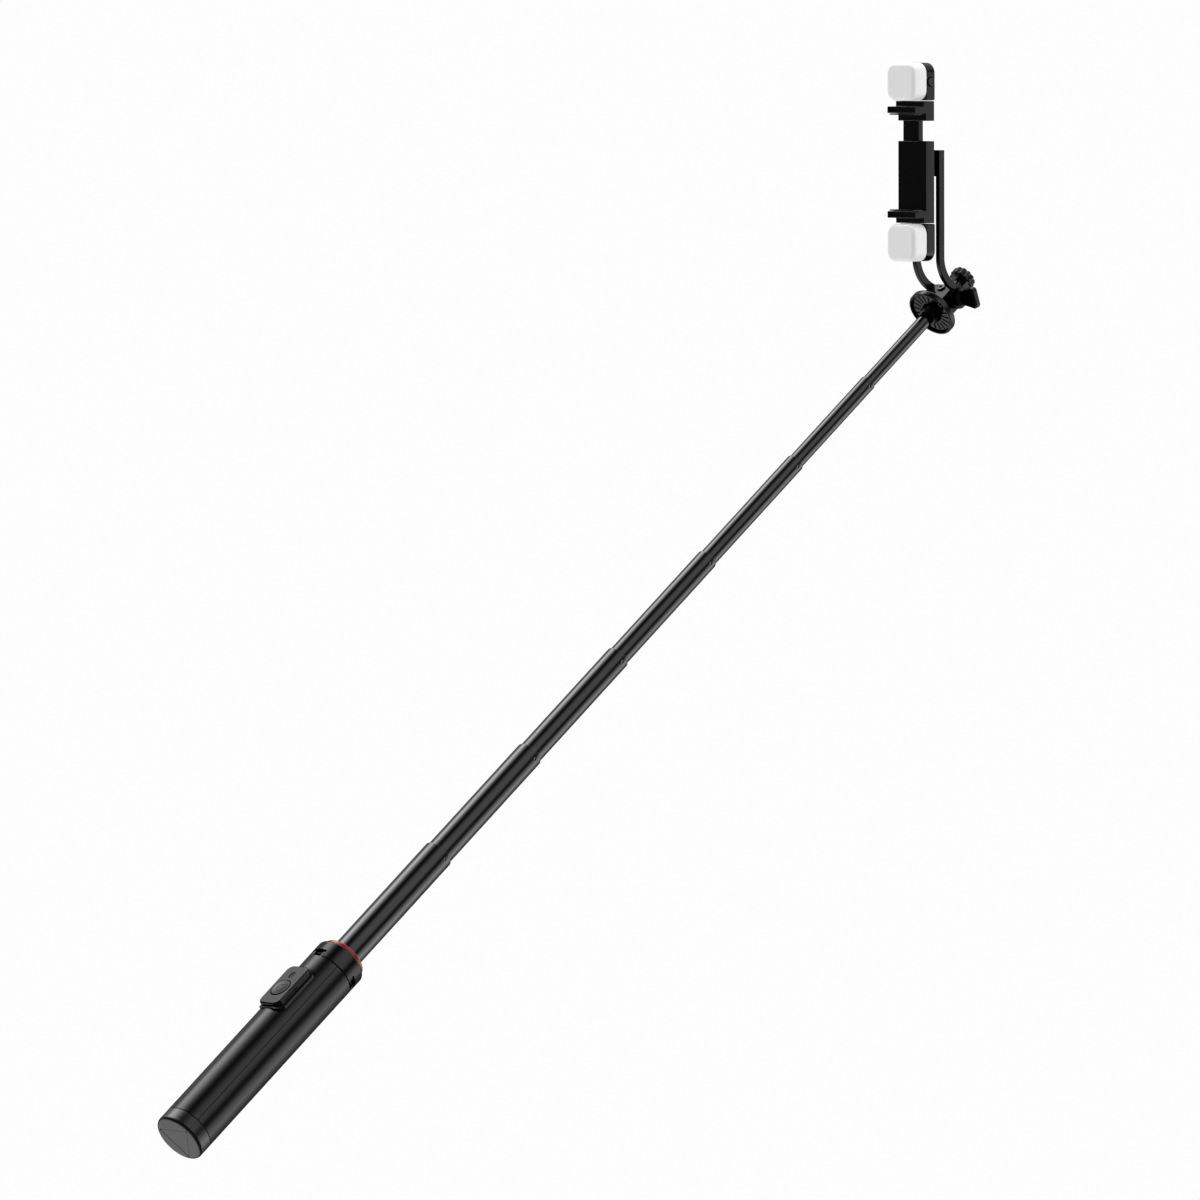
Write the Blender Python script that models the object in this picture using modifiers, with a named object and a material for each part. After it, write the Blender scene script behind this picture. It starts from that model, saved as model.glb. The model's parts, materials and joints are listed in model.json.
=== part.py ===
"""Selfie stick with tripod legs, a detachable shutter remote and a phone clamp with two fill lamps.

Frame: +Z runs up the stick from the centre of the handle's end face, -Y is the front, where the remote
and the phone's screen are, and +X is to the right of somebody who looks at the screen. The stick is fully
extended, its legs are closed and the fork leans forward by FORK_LEAN. Lengths below are in millimetres,
and angles in degrees.
"""

import math

import bmesh
import bpy
from mathutils import Matrix, Vector

MM = 0.001
GAP = 0.3

# Handle: three legs round a fixed guide tube.
HANDLE_RADIUS = 20.0
FOOT_HEIGHT = 11.5
FOOT_ROUNDING = 2.4
LEG_TOP = 181.8
LEG_INNER_RADIUS = 13.6
LEG_WALL = 2.4
LEG_HEAD_HEIGHT = 9.6
SEAM_HALF = 0.25
CORE_INRADIUS = 8.5
COLLAR_BOTTOM = 182.4
COLLAR_TOP = 198.4
RING_TOP = 202.2
RING_RADIUS = 17.3
LEG_ANGLES = {"front": -90.0, "right": 30.0, "left": 150.0}

# Leg hinges in the collar's windows.
HINGE_RADIUS = 17.0
HINGE_HEIGHT = 186.2
LUG_RADIUS = 2.0
LUG_HALF_WIDTH = 5.9
WINDOW_HALF_WIDTH = 6.25
WINDOW_TOP = 188.7
PIN_RADIUS = 0.9
PIN_BORE = 1.2
PIN_LENGTH = 15.6

# Telescoping tubes, from the thickest to the thinnest.
GUIDE_RADIUS = 12.7
GUIDE_WALL = 0.6
TUBE_RADII = (11.6, 10.4, 9.3, 8.15, 7.05, 6.1, 5.35)
TUBE_VISIBLE = (116.8, 115.0, 113.0, 116.0, 116.0, 97.0)
TUBE_WALL = 0.45
TUBE_OVERLAP = 30.0
RIM_DEPTH = 1.6
BUSH_HEIGHT = 2.0

# Remote in the front leg.
REMOTE_HALF_WIDTH = 11.0
REMOTE_LENGTH = 41.6
REMOTE_WALL = 1.2
REMOTE_ROOF = 1.4
DOCK_HALF_WIDTH = 12.7
DOCK_RIM_RADIUS = 21.6
BOARD_FRONT = -18.9
PRESS_TRAVEL = 0.6
REMOTE_CENTRE = 144.9
REMOTE_FACE = -23.1
REMOTE_SPLIT = -19.6
REMOTE_BACK = -15.3
REMOTE_CORNER = 5.5
BUTTON_HEIGHT = 141.4
BUTTON_RADIUS = 7.7
STATUS_HEIGHT = 155.5

# Head: disc, pan block, tilt axis and fork.
DISC_BOTTOM = 960.0
DISC_RADIUS = 19.7
DISC_TOP = 966.4
SPIGOT_TOP = 972.0
SPIGOT_RADIUS = 5.0
PAN_BOLT_RADIUS = 2.0
TILT_HEIGHT = 981.6
FORK_LEAN = 53.13
BLOCK_HALF_WIDTH = 10.6
BLOCK_HALF_DEPTH = 8.6
BLOCK_TOP = 991.0
KNOB_BOTTOM = 1000.0
KNOB_TOP = 1007.6
KNOB_RADIUS = 9.2
ARM_OFFSET = 12.85
ARM_THICKNESS = 3.8
ARC_CENTRE = (6.5, 31.0)
ARC_INNER = 22.9
ARC_OUTER = 29.0
KNUCKLE_RADIUS = 9.0
WING_START = 15.1
WING_END = 33.0
WING_TURN = 72.5
SCREW_BORE = 2.1
SCREW_RADIUS = 1.7
SCREW_TIP = 3.9

# Clamp, in the frame of the fork: x to the right, y behind the screen and z up the phone.
# The tilt axis is at y = 0, z = 0, and the screen lies at y = SCREEN.
SCREEN = -47.0
CLAMP_CENTRE = 103.8
CLAMP_HALF_WIDTH = 15.0
CLAMP_FRONT = SCREEN + 10.0
CLAMP_BACK = SCREEN + 19.4
PAD_FACE = 36.1
PAD_THICKNESS = 1.0
JAW_END = 42.5
PLATE_END = 46.6
SLEEVE_TOP = 16.0
SLIDER_SHOULDER = 31.5
LAMP_CENTRE = 61.4
LAMP_HEIGHT = 28.6
LAMP_CORNER = 8.0
DIFFUSER_FRONT = SCREEN - 3.1
LAMP_BUTTON_RADIUS = 3.2

STEPS = 24
COLLECTION = "selfie_stick"
FINISHES = {
    "satin_black": ((0.020, 0.020, 0.021), 0.45, 0.0),
    "gloss_black": ((0.012, 0.012, 0.013), 0.12, 0.0),
    "soft_rubber": ((0.040, 0.040, 0.042), 0.75, 0.0),
    "black_tube": ((0.018, 0.018, 0.020), 0.28, 0.9),
    "red_trim": ((0.45, 0.010, 0.015), 0.35, 0.0),
    "bright_steel": ((0.60, 0.60, 0.61), 0.25, 1.0),
    "nylon": ((0.75, 0.74, 0.70), 0.50, 0.0),
    "lamp_white": ((0.85, 0.85, 0.84), 0.35, 0.0),
    "board_green": ((0.02, 0.12, 0.05), 0.50, 0.0),
}


def clear_scene():
    for old in list(bpy.data.objects):
        bpy.data.objects.remove(old, do_unlink=True)


def collection(name, hidden=False):
    group = bpy.data.collections.new(name)
    bpy.context.scene.collection.children.link(group)
    group.hide_render = hidden
    return group


clear_scene()
PARTS = collection(COLLECTION)
CUTTERS = collection("cutters", hidden=True)


def finish(obj, kind):
    """Gives the object its own Principled material of this kind."""
    colour, roughness, metallic = FINISHES[kind]
    material = bpy.data.materials.new(f"{obj.name}_{kind}")
    material.use_nodes = True
    shader = material.node_tree.nodes["Principled BSDF"]
    shader.inputs["Base Color"].default_value = (*colour, 1.0)
    shader.inputs["Roughness"].default_value = roughness
    shader.inputs["Metallic"].default_value = metallic
    obj.data.materials.clear()
    obj.data.materials.append(material)


def place(obj, kind=None, parent=None, location=(0, 0, 0), rotation=(0, 0, 0)):
    """Links the object as a part with this finish or, without one, as a hidden cutter."""
    if kind:
        PARTS.objects.link(obj)
        finish(obj, kind)
        obj.data.shade_smooth()
        obj.data.set_sharp_from_angle(angle=math.radians(30))
    else:
        CUTTERS.objects.link(obj)
        obj.hide_render = True
        obj.display_type = "WIRE"
    obj.parent = parent
    obj.location = Vector(location) * MM
    obj.rotation_euler = [math.radians(angle) for angle in rotation]
    return obj


def axis_empty(name, location, rotation=(0, 0, 0), parent=None):
    """An empty on a joint's axis, which moving pieces are parented to."""
    empty = bpy.data.objects.new(name, None)
    PARTS.objects.link(empty)
    empty.parent = parent
    empty.location = Vector(location) * MM
    empty.rotation_euler = [math.radians(angle) for angle in rotation]
    return empty


def polar(radius, angle, centre=(0.0, 0.0)):
    turn = math.radians(angle)
    return (centre[0] + radius * math.cos(turn), centre[1] + radius * math.sin(turn))


def arc(radius, start, end, steps, centre=(0.0, 0.0)):
    return [polar(radius, start + (end - start) * i / steps, centre) for i in range(steps + 1)]


def rounded_rectangle(half_width, half_height, corner, steps=3, centre=(0.0, 0.0)):
    points = []
    for turn, x, y in ((0, 1, 1), (90, -1, 1), (180, -1, -1), (270, 1, -1)):
        middle = (centre[0] + x * (half_width - corner), centre[1] + y * (half_height - corner))
        points += arc(corner, turn, turn + 90, steps, middle)
    return points


def outline_mesh(name, outline, bottom, top):
    """A flat outline in x and y, extruded along z from bottom to top, as a closed mesh."""
    curve = bpy.data.curves.new(name, "CURVE")
    curve.dimensions = "2D"
    curve.fill_mode = "BOTH"
    curve.extrude = (top - bottom) / 2 * MM
    spline = curve.splines.new("POLY")
    spline.points.add(len(outline) - 1)
    for point, (x, y) in zip(spline.points, outline):
        point.co = (x * MM, y * MM, 0, 1)
    spline.use_cyclic_u = True
    guide = bpy.data.objects.new(name + "_outline", curve)
    bpy.context.scene.collection.objects.link(guide)
    graph = bpy.context.evaluated_depsgraph_get()
    mesh = bpy.data.meshes.new_from_object(guide.evaluated_get(graph))
    bpy.data.objects.remove(guide, do_unlink=True)
    mesh.name = name
    work = bmesh.new()
    work.from_mesh(mesh)
    bmesh.ops.remove_doubles(work, verts=work.verts, dist=0.005 * MM)
    bmesh.ops.translate(work, verts=work.verts, vec=(0, 0, (top + bottom) / 2 * MM))
    bmesh.ops.recalc_face_normals(work, faces=work.faces)
    work.to_mesh(mesh)
    work.free()
    return mesh


# How an outline drawn in x and y is turned so that its extrusion runs along another axis.
ALONG_Z = Matrix.Identity(4)
ALONG_X = Matrix(((0, 0, 1, 0), (1, 0, 0, 0), (0, 1, 0, 0), (0, 0, 0, 1)))
ALONG_Y = Matrix(((1, 0, 0, 0), (0, 0, -1, 0), (0, 1, 0, 0), (0, 0, 0, 1)))


def prism(name, outline, low, high, kind=None, along=ALONG_Z, **placing):
    """An extruded outline. ALONG_X draws it in (y, z), and ALONG_Y in (x, z) with low and high in -y."""
    mesh = outline_mesh(name, outline, low, high)
    mesh.transform(along)
    return place(bpy.data.objects.new(name, mesh), kind, **placing)


def turned(name, profile, kind=None, steps=STEPS, loop=False, along=ALONG_Z, **placing):
    """A profile of (radius, height) points turned about z, given down its outer side from top to bottom."""
    mesh = bpy.data.meshes.new(name)
    edges = [(i, i + 1) for i in range(len(profile) - 1)]
    if loop:
        edges.append((len(profile) - 1, 0))
    mesh.from_pydata([(radius * MM, 0, height * MM) for radius, height in profile], edges, [])
    obj = bpy.data.objects.new(name, mesh)
    bpy.context.scene.collection.objects.link(obj)
    screw = obj.modifiers.new("Turn", "SCREW")
    screw.steps = steps
    screw.render_steps = steps
    screw.use_merge_vertices = True
    screw.merge_threshold = 0.00001
    graph = bpy.context.evaluated_depsgraph_get()
    solid = bpy.data.meshes.new_from_object(obj.evaluated_get(graph))
    bpy.data.objects.remove(obj, do_unlink=True)
    solid.name = name
    solid.transform(along)
    return place(bpy.data.objects.new(name, solid), kind, **placing)


def cylinder(name, radius, low, high, kind=None, **options):
    return turned(name, [(0, high), (radius, high), (radius, low), (0, low)], kind, **options)


def box(name, low, high, kind=None, bevel=0.0, **placing):
    """A box between two corners, with an optional bevel on every edge."""
    mesh = bpy.data.meshes.new(name)
    work = bmesh.new()
    bmesh.ops.create_cube(work, size=1.0)
    size = [(b - a) * MM for a, b in zip(low, high)]
    middle = [(a + b) / 2 * MM for a, b in zip(low, high)]
    bmesh.ops.scale(work, verts=work.verts, vec=size)
    bmesh.ops.translate(work, verts=work.verts, vec=middle)
    work.to_mesh(mesh)
    work.free()
    obj = place(bpy.data.objects.new(name, mesh), kind, **placing)
    if bevel:
        soften(obj, bevel)
    return obj


def soften(obj, width, segments=1):
    bevel = obj.modifiers.new("Bevel", "BEVEL")
    bevel.width = width * MM
    bevel.segments = segments
    bevel.limit_method = "ANGLE"
    bevel.angle_limit = math.radians(40)


def combine(obj, other, operation):
    boolean = obj.modifiers.new(operation.title(), "BOOLEAN")
    boolean.object = other
    boolean.operation = operation


def cut(obj, *cutters):
    for cutter in cutters:
        combine(obj, cutter, "DIFFERENCE")


def join(obj, *pieces):
    for piece in pieces:
        combine(obj, piece, "UNION")


# ---------------------------------------------------------------- handle and legs


def seam_half_angle(radius, offset=SEAM_HALF):
    """Half of a leg's angle at this radius, inside two seams that are set back by offset."""
    return 60.0 - math.degrees(math.asin(offset / radius))


def sector(inner, outer, offset, steps=8):
    """A third of a ring, centred on +x, with an offset from each seam."""
    wide = seam_half_angle(outer, offset)
    if inner:
        narrow = seam_half_angle(inner, offset)
        return arc(outer, -wide, wide, steps) + arc(inner, narrow, -narrow, steps)
    return arc(outer, -wide, wide, steps) + [(offset / math.sin(math.radians(60)), 0.0)]


def foot(side, turn):
    """Rubber foot with a rounded outer edge, cut straight beside the three-sided core."""
    rounding = FOOT_ROUNDING
    profile = [
        (0, FOOT_HEIGHT),
        (HANDLE_RADIUS, FOOT_HEIGHT),
        (HANDLE_RADIUS, rounding),
        (HANDLE_RADIUS - 0.3 * rounding, 0.3 * rounding),
        (HANDLE_RADIUS - rounding, 0),
        (0, 0),
    ]
    puck = turned("foot_" + side, profile, "soft_rubber", rotation=(0, 0, turn))
    inner = CORE_INRADIUS + 0.4
    half = inner * math.tan(math.radians(60)) - SEAM_HALF / math.cos(math.radians(60))
    reach = HANDLE_RADIUS + 2
    wide = seam_half_angle(reach)
    wedge = [(inner, -half), *arc(reach, -wide, wide, 4), (inner, half)]
    tool = prism(f"foot_{side}_wedge", wedge, -1, FOOT_HEIGHT + 1, rotation=(0, 0, turn))
    combine(puck, tool, "INTERSECT")


def lug_outline():
    """Side view of a hinge lug in radius and height, with a round top about the pin."""
    root = LEG_TOP - 3
    sides = [(HINGE_RADIUS - LUG_RADIUS, root), (HINGE_RADIUS + LUG_RADIUS, root)]
    return sides + arc(LUG_RADIUS, 0, 180, 6, (HINGE_RADIUS, HINGE_HEIGHT))


def leg(side, turn):
    """Channel-shaped leg with a solid head and a hinge lug that stands up into the collar's window."""
    low = FOOT_HEIGHT + GAP
    spin = {"rotation": (0, 0, turn)}
    outline = sector(LEG_INNER_RADIUS, HANDLE_RADIUS, SEAM_HALF)
    shell = prism("leg_" + side, outline, low, LEG_TOP, "satin_black", **spin)
    hollow = sector(0, HANDLE_RADIUS - LEG_WALL, SEAM_HALF + LEG_WALL)
    channel = prism(f"leg_{side}_channel", hollow, low - 1, LEG_TOP - LEG_HEAD_HEIGHT, **spin)
    lug = prism(f"leg_{side}_lug", lug_outline(), -LUG_HALF_WIDTH, LUG_HALF_WIDTH, along=ALONG_Y, **spin)
    bore = hinge_rod(f"leg_{side}_bore", PIN_BORE, 2 * LUG_HALF_WIDTH + 2, turn)
    cut(shell, channel)
    join(shell, lug)
    cut(shell, bore)
    return shell


def hinge_rod(name, radius, length, turn, kind=None):
    """A rod along a leg's hinge axis, with its origin on that axis."""
    x, y = polar(HINGE_RADIUS, turn)
    placing = {"location": (x, y, HINGE_HEIGHT), "rotation": (0, 0, turn)}
    return cylinder(name, radius, -length / 2, length / 2, kind, steps=12, along=ALONG_Y, **placing)


def collar():
    """Hinge collar with a rounded top edge, a seat for the accent ring and a window for each lug."""
    seat = RING_RADIUS + GAP
    profile = [
        (seat, COLLAR_TOP),
        (HANDLE_RADIUS - 2.0, COLLAR_TOP),
        (HANDLE_RADIUS - 0.6, COLLAR_TOP - 0.6),
        (HANDLE_RADIUS, COLLAR_TOP - 2.0),
        (HANDLE_RADIUS, COLLAR_BOTTOM + 0.4),
        (HANDLE_RADIUS - 0.4, COLLAR_BOTTOM),
        (GUIDE_RADIUS + GAP, COLLAR_BOTTOM),
        (GUIDE_RADIUS + GAP, COLLAR_TOP - 1.1),
        (seat, COLLAR_TOP - 1.1),
    ]
    body = turned("collar", profile, "gloss_black", loop=True, steps=36)
    inner = HINGE_RADIUS - LUG_RADIUS - 0.5
    for side, turn in LEG_ANGLES.items():
        low = (inner, -WINDOW_HALF_WIDTH, COLLAR_BOTTOM - 1)
        high = (HANDLE_RADIUS + 2, WINDOW_HALF_WIDTH, WINDOW_TOP)
        window = box(f"collar_window_{side}", low, high, rotation=(0, 0, turn))
        bore = hinge_rod(f"collar_bore_{side}", PIN_BORE, PIN_LENGTH + 2 * GAP, turn)
        cut(body, window, bore)


def guide_and_trim():
    inner = GUIDE_RADIUS - GUIDE_WALL
    low = FOOT_HEIGHT + 0.7
    high = COLLAR_TOP - 1.4
    tube = [(inner, high), (GUIDE_RADIUS, high), (GUIDE_RADIUS, low), (inner, low)]
    turned("guide_tube", tube, "black_tube", loop=True)
    bore = TUBE_RADII[0] + 0.35
    base = COLLAR_TOP - 0.8
    ring = [
        (bore + 0.4, RING_TOP),
        (RING_RADIUS - 1.2, RING_TOP),
        (RING_RADIUS - 0.35, RING_TOP - 0.35),
        (RING_RADIUS, RING_TOP - 1.2),
        (RING_RADIUS, base),
        (bore, base),
        (bore, RING_TOP - 0.4),
    ]
    turned("accent_ring", ring, "red_trim", loop=True, steps=36)
    # The core's three sides face the legs, so its corners point at the seams.
    corners = []
    for seam in (-30, 90, 210):
        corners += arc(1.2, seam - 60, seam + 60, 2, polar(2 * CORE_INRADIUS - 2.4, seam))
    core = prism("core_plug", corners, 0, FOOT_HEIGHT, "soft_rubber")
    neck = CORE_INRADIUS - 0.3
    plug = [
        (0, FOOT_HEIGHT + 12),
        (inner - 0.4, FOOT_HEIGHT + 12),
        (inner - 0.4, FOOT_HEIGHT + GAP),
        (neck, FOOT_HEIGHT + GAP),
        (neck, FOOT_HEIGHT - 2),
        (0, FOOT_HEIGHT - 2),
    ]
    join(core, turned("core_spigot", plug))


def handle():
    collar()
    guide_and_trim()
    shells = {}
    for side, turn in LEG_ANGLES.items():
        foot(side, turn)
        shells[side] = leg(side, turn)
        hinge_rod("leg_pin_" + side, PIN_RADIUS, PIN_LENGTH, turn, "bright_steel")
    return shells


# ---------------------------------------------------------------- remote


def remote(front_leg):
    """Shutter remote in its dock. Outlines are drawn in x and z, and depths run along -y."""
    half = REMOTE_LENGTH / 2
    wide = REMOTE_HALF_WIDTH
    middle = (0, REMOTE_CENTRE)

    def slab(name, half_width, half_height, corner, back, front, kind=None):
        outline = rounded_rectangle(half_width, half_height, corner, 3, middle)
        return prism(name, outline, -back, -front, kind, along=ALONG_Y)

    # The dock's rim follows the round of the handle.
    dock = slab("remote_dock", DOCK_HALF_WIDTH, half + 2, 6.8, -13.8, -20.6, "satin_black")
    combine(dock, cylinder("dock_round", DOCK_RIM_RADIUS, 90, 200, steps=48), "INTERSECT")
    cut(dock, slab("dock_pocket", wide + 0.35, half + 0.35, 5.8, REMOTE_BACK + GAP, -22))
    cut(front_leg, slab("leg_front_opening", DOCK_HALF_WIDTH + GAP, half + 2 + GAP, 7.0, -12, -23))

    corner = REMOTE_CORNER
    hollow = (wide - REMOTE_WALL, half - REMOTE_WALL, corner - REMOTE_WALL)
    lower = slab("remote_case_lower", wide, half, corner, REMOTE_BACK, REMOTE_SPLIT, "satin_black")
    cut(lower, slab("case_lower_hollow", *hollow, REMOTE_BACK - 1.0, REMOTE_SPLIT - 1))
    upper = slab("remote_case_upper", wide, half, corner, REMOTE_SPLIT - GAP, REMOTE_FACE, "satin_black")
    cut(upper, slab("case_upper_hollow", *hollow, REMOTE_SPLIT, REMOTE_FACE + REMOTE_ROOF))
    slab("remote_board", 9.2, half - 2.4, 2.0, BOARD_FRONT + 0.8, BOARD_FRONT, "board_green")

    roof = REMOTE_FACE + REMOTE_ROOF
    spots = {"location": (0, 0, BUTTON_HEIGHT)}
    hole = cylinder("button_hole", BUTTON_RADIUS + GAP, 18, 30, steps=20, along=ALONG_Y, **spots)
    cut(upper, hole)
    flange = BUTTON_RADIUS + 1.0
    stem_end = GAP + PRESS_TRAVEL - BOARD_FRONT
    button = [
        (0, 0.5 - REMOTE_FACE),
        (BUTTON_RADIUS - 0.5, 0.5 - REMOTE_FACE),
        (BUTTON_RADIUS, -REMOTE_FACE),
        (BUTTON_RADIUS, -roof - GAP),
        (flange, -roof - GAP),
        (flange, -roof - GAP - 0.8),
        (1.6, -roof - GAP - 0.8),
        (1.6, stem_end),
        (0, stem_end),
    ]
    turned("shutter_button", button, "satin_black", steps=20, along=ALONG_Y, **spots)
    spots["location"] = (0, 0, STATUS_HEIGHT)
    lens_hole = rounded_rectangle(2.0 + GAP, 2.9 + GAP, 2.0)
    cut(upper, prism("status_hole", lens_hole, 18, 30, along=ALONG_Y, **spots))
    lens = rounded_rectangle(2.0, 2.9, 1.8)
    prism("status_lens", lens, GAP - BOARD_FRONT, 0.1 - REMOTE_FACE, "lamp_white", along=ALONG_Y, **spots)
    spots["location"] = (0, 0, REMOTE_CENTRE - 6)
    cylinder("coin_cell", 8.0, 16.6, 17.8, "bright_steel", along=ALONG_Y, **spots)


# ---------------------------------------------------------------- telescope


def telescope():
    """Seven nested tubes, each with a nylon bush under its foot. It returns the height of the last rim."""
    below = RING_TOP
    bore = GUIDE_RADIUS - GUIDE_WALL
    for number, radius in enumerate(TUBE_RADII, 1):
        inner = radius - TUBE_WALL
        foot_height = below - TUBE_OVERLAP
        if number < len(TUBE_RADII):
            top = below + TUBE_VISIBLE[number - 1]
            rim = TUBE_RADII[number] + 0.25
            profile = [
                (rim, top),
                (radius - 0.3, top),
                (radius, top - 0.4),
                (radius, foot_height),
                (inner, foot_height),
                (inner, top - RIM_DEPTH - 0.4),
                (rim, top - RIM_DEPTH),
            ]
        else:
            top = DISC_BOTTOM + 2.9
            profile = [(inner, top), (radius, top), (radius, foot_height), (inner, foot_height)]
        turned(f"tube_{number}", profile, "black_tube", loop=True)
        high = foot_height - 0.3
        low = high - BUSH_HEIGHT
        ring = [(inner, high), (bore - 0.15, high), (bore - 0.15, low), (inner, low)]
        turned(f"bush_{number}", ring, "nylon", loop=True)
        below = top
        bore = inner


# ---------------------------------------------------------------- head


def disc():
    """Cup-shaped disc on the last tube, with a boss round the tube and a spigot that the block turns on."""
    socket = TUBE_RADII[-1] + GAP
    bolt = PAN_BOLT_RADIUS + GAP
    profile = [
        (bolt, SPIGOT_TOP),
        (SPIGOT_RADIUS, SPIGOT_TOP),
        (SPIGOT_RADIUS, DISC_TOP),
        (16.5, DISC_TOP),
        (DISC_RADIUS - 0.6, DISC_TOP - 0.9),
        (DISC_RADIUS, DISC_TOP - 1.9),
        (DISC_RADIUS, DISC_BOTTOM + 0.3),
        (DISC_RADIUS - 0.3, DISC_BOTTOM),
        (DISC_RADIUS - 1.7, DISC_BOTTOM),
        (DISC_RADIUS - 2.1, DISC_BOTTOM + 1.8),
        (9.0, DISC_BOTTOM + 1.8),
        (6.9, DISC_BOTTOM - 4.2),
        (socket, DISC_BOTTOM - 4.2),
        (socket, DISC_BOTTOM + 3.2),
        (bolt, DISC_BOTTOM + 3.2),
    ]
    turned("top_disc", profile, "satin_black", loop=True, steps=36)


def pan_block():
    """Block between the fork's knuckles, with bores for the pan bolt and for a tilt screw on each side."""
    low = DISC_TOP + GAP
    rise = BLOCK_TOP - TILT_HEIGHT
    depth = BLOCK_HALF_DEPTH
    shoulder = 24
    outline = [(-depth, low - TILT_HEIGHT), (depth, low - TILT_HEIGHT)]
    outline += arc(rise, shoulder, 180 - shoulder, 8)
    placing = {"location": (0, 0, TILT_HEIGHT)}
    across = {"along": ALONG_X, **placing}
    body = prism("pan_block", outline, -BLOCK_HALF_WIDTH, BLOCK_HALF_WIDTH, "satin_black", **across)
    well = cylinder("block_well", SPIGOT_RADIUS + GAP, low - 1, SPIGOT_TOP + GAP)
    bore = cylinder("block_bore", PAN_BOLT_RADIUS + 0.4, low - 1, BLOCK_TOP + 2, steps=16)
    cut(body, well, bore)
    inner, outer = SCREW_TIP - 0.4, BLOCK_HALF_WIDTH + 1
    cut(body, cylinder("block_bore_right", SCREW_BORE, inner, outer, steps=16, **across))
    cut(body, cylinder("block_bore_left", SCREW_BORE, -outer, -inner, steps=16, **across))
    # Hexagonal nut let into the front face.
    front = {"location": (0, 0, TILT_HEIGHT)}
    seat = cylinder("nut_seat", 3.9, depth - 1.5, depth + 1, steps=6, along=ALONG_Y, **front)
    cut(body, seat)
    cylinder("block_nut", 3.5, depth - 1.2, depth + 1.4, "bright_steel", steps=6, along=ALONG_Y, **front)


def star_outline(radius, depth, lobes=8, steps=4):
    """A wavy circle with this many lobes."""
    count = lobes * steps
    points = []
    for i in range(count):
        wave = 0.5 + 0.5 * math.cos(2 * math.pi * i / steps)
        points.append(polar(radius - depth * (1 - wave), 360 * i / count))
    return points


def pan_screw():
    """Bolt down the stick's axis, with a lobed knob and a spacer collar on it."""
    low = DISC_BOTTOM + 4
    flange = BLOCK_TOP + GAP
    bolt = [
        (0, KNOB_BOTTOM - GAP),
        (3.8, KNOB_BOTTOM - GAP),
        (3.8, flange),
        (PAN_BOLT_RADIUS, flange),
        (PAN_BOLT_RADIUS, low),
        (0, low),
    ]
    turned("pan_bolt", bolt, "satin_black", steps=16)
    knob = prism("pan_knob", star_outline(KNOB_RADIUS + 0.7, 1.9), KNOB_BOTTOM, KNOB_TOP, "satin_black")
    floor = KNOB_TOP - 1.6
    dish = turned("knob_dish", [(0, KNOB_TOP + 1), (6.0, KNOB_TOP + 1), (5.2, floor), (0, floor)])
    soften(knob, 0.7)
    cut(knob, dish)


def wing_outline():
    """Flat of the wing knob's blade, which widens from its root to a bevelled end."""
    root, end = WING_START + 2.4, WING_END
    return [
        (root, -5.4),
        (end - 3.0, -8.6),
        (end - 0.8, -7.8),
        (end, -5.6),
        (end, 5.6),
        (end - 0.8, 7.8),
        (end - 3.0, 8.6),
        (root, 5.4),
    ]


def tilt_screws():
    """Wing screw on the right of the tilt axis and a plain pivot screw on its left."""
    across = {"along": ALONG_X, "location": (0, 0, TILT_HEIGHT)}
    arm_outside = ARM_OFFSET + ARM_THICKNESS / 2
    shaft = [
        (0, WING_START - GAP),
        (SCREW_RADIUS, WING_START - GAP),
        (SCREW_RADIUS, SCREW_TIP),
        (0, SCREW_TIP),
    ]
    turned("tilt_bolt", shaft, "bright_steel", steps=16, **across)
    blade_tilt = {"location": (0, 0, TILT_HEIGHT), "rotation": (WING_TURN, 0, 0)}
    knob = cylinder("tilt_knob", 7.2, WING_START, WING_START + 3.0, "satin_black", steps=20, **across)
    blade = prism("wing_blade", wing_outline(), -2.4, 2.4, along=ALONG_Y, **blade_tilt)
    join(knob, blade)
    head = arm_outside + GAP
    screw = [
        (0, -SCREW_TIP),
        (SCREW_RADIUS, -SCREW_TIP),
        (SCREW_RADIUS, -head),
        (3.6, -head),
        (3.6, -head - 1.6),
        (0, -head - 1.6),
    ]
    turned("pivot_screw", screw, "bright_steel", steps=16, **across)


def circle_meet(radius, other):
    """Angle about the tilt axis where a circle of this radius meets the arm's arc of radius other."""
    distance = math.hypot(*ARC_CENTRE)
    cosine = (distance**2 + radius**2 - other**2) / (2 * distance * radius)
    spread = math.degrees(math.acos(cosine))
    towards = math.degrees(math.atan2(ARC_CENTRE[1], ARC_CENTRE[0]))
    return towards + spread


def arc_angle(point):
    """Angle of a point about the arm's arc centre, from 0 to 360."""
    return math.degrees(math.atan2(point[1] - ARC_CENTRE[1], point[0] - ARC_CENTRE[0])) % 360


def arm_outline():
    """Side view of an arm in y and z: straight, a quarter turn, then a round knuckle about the tilt axis."""
    top = CLAMP_CENTRE + 9
    inner_meet = circle_meet(KNUCKLE_RADIUS, ARC_INNER)
    outer_meet = circle_meet(KNUCKLE_RADIUS, ARC_OUTER)
    inner_end = arc_angle(polar(KNUCKLE_RADIUS, inner_meet))
    outer_end = arc_angle(polar(KNUCKLE_RADIUS, outer_meet))
    points = [(ARC_CENTRE[0] - ARC_OUTER, top)]
    points += arc(ARC_OUTER, 180, outer_end, 6, ARC_CENTRE)
    points += arc(KNUCKLE_RADIUS, outer_meet, 360 + inner_meet, 14)[1:]
    points += arc(ARC_INNER, inner_end, 180, 6, ARC_CENTRE)[1:]
    points.append((ARC_CENTRE[0] - ARC_INNER, top))
    return points


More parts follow.
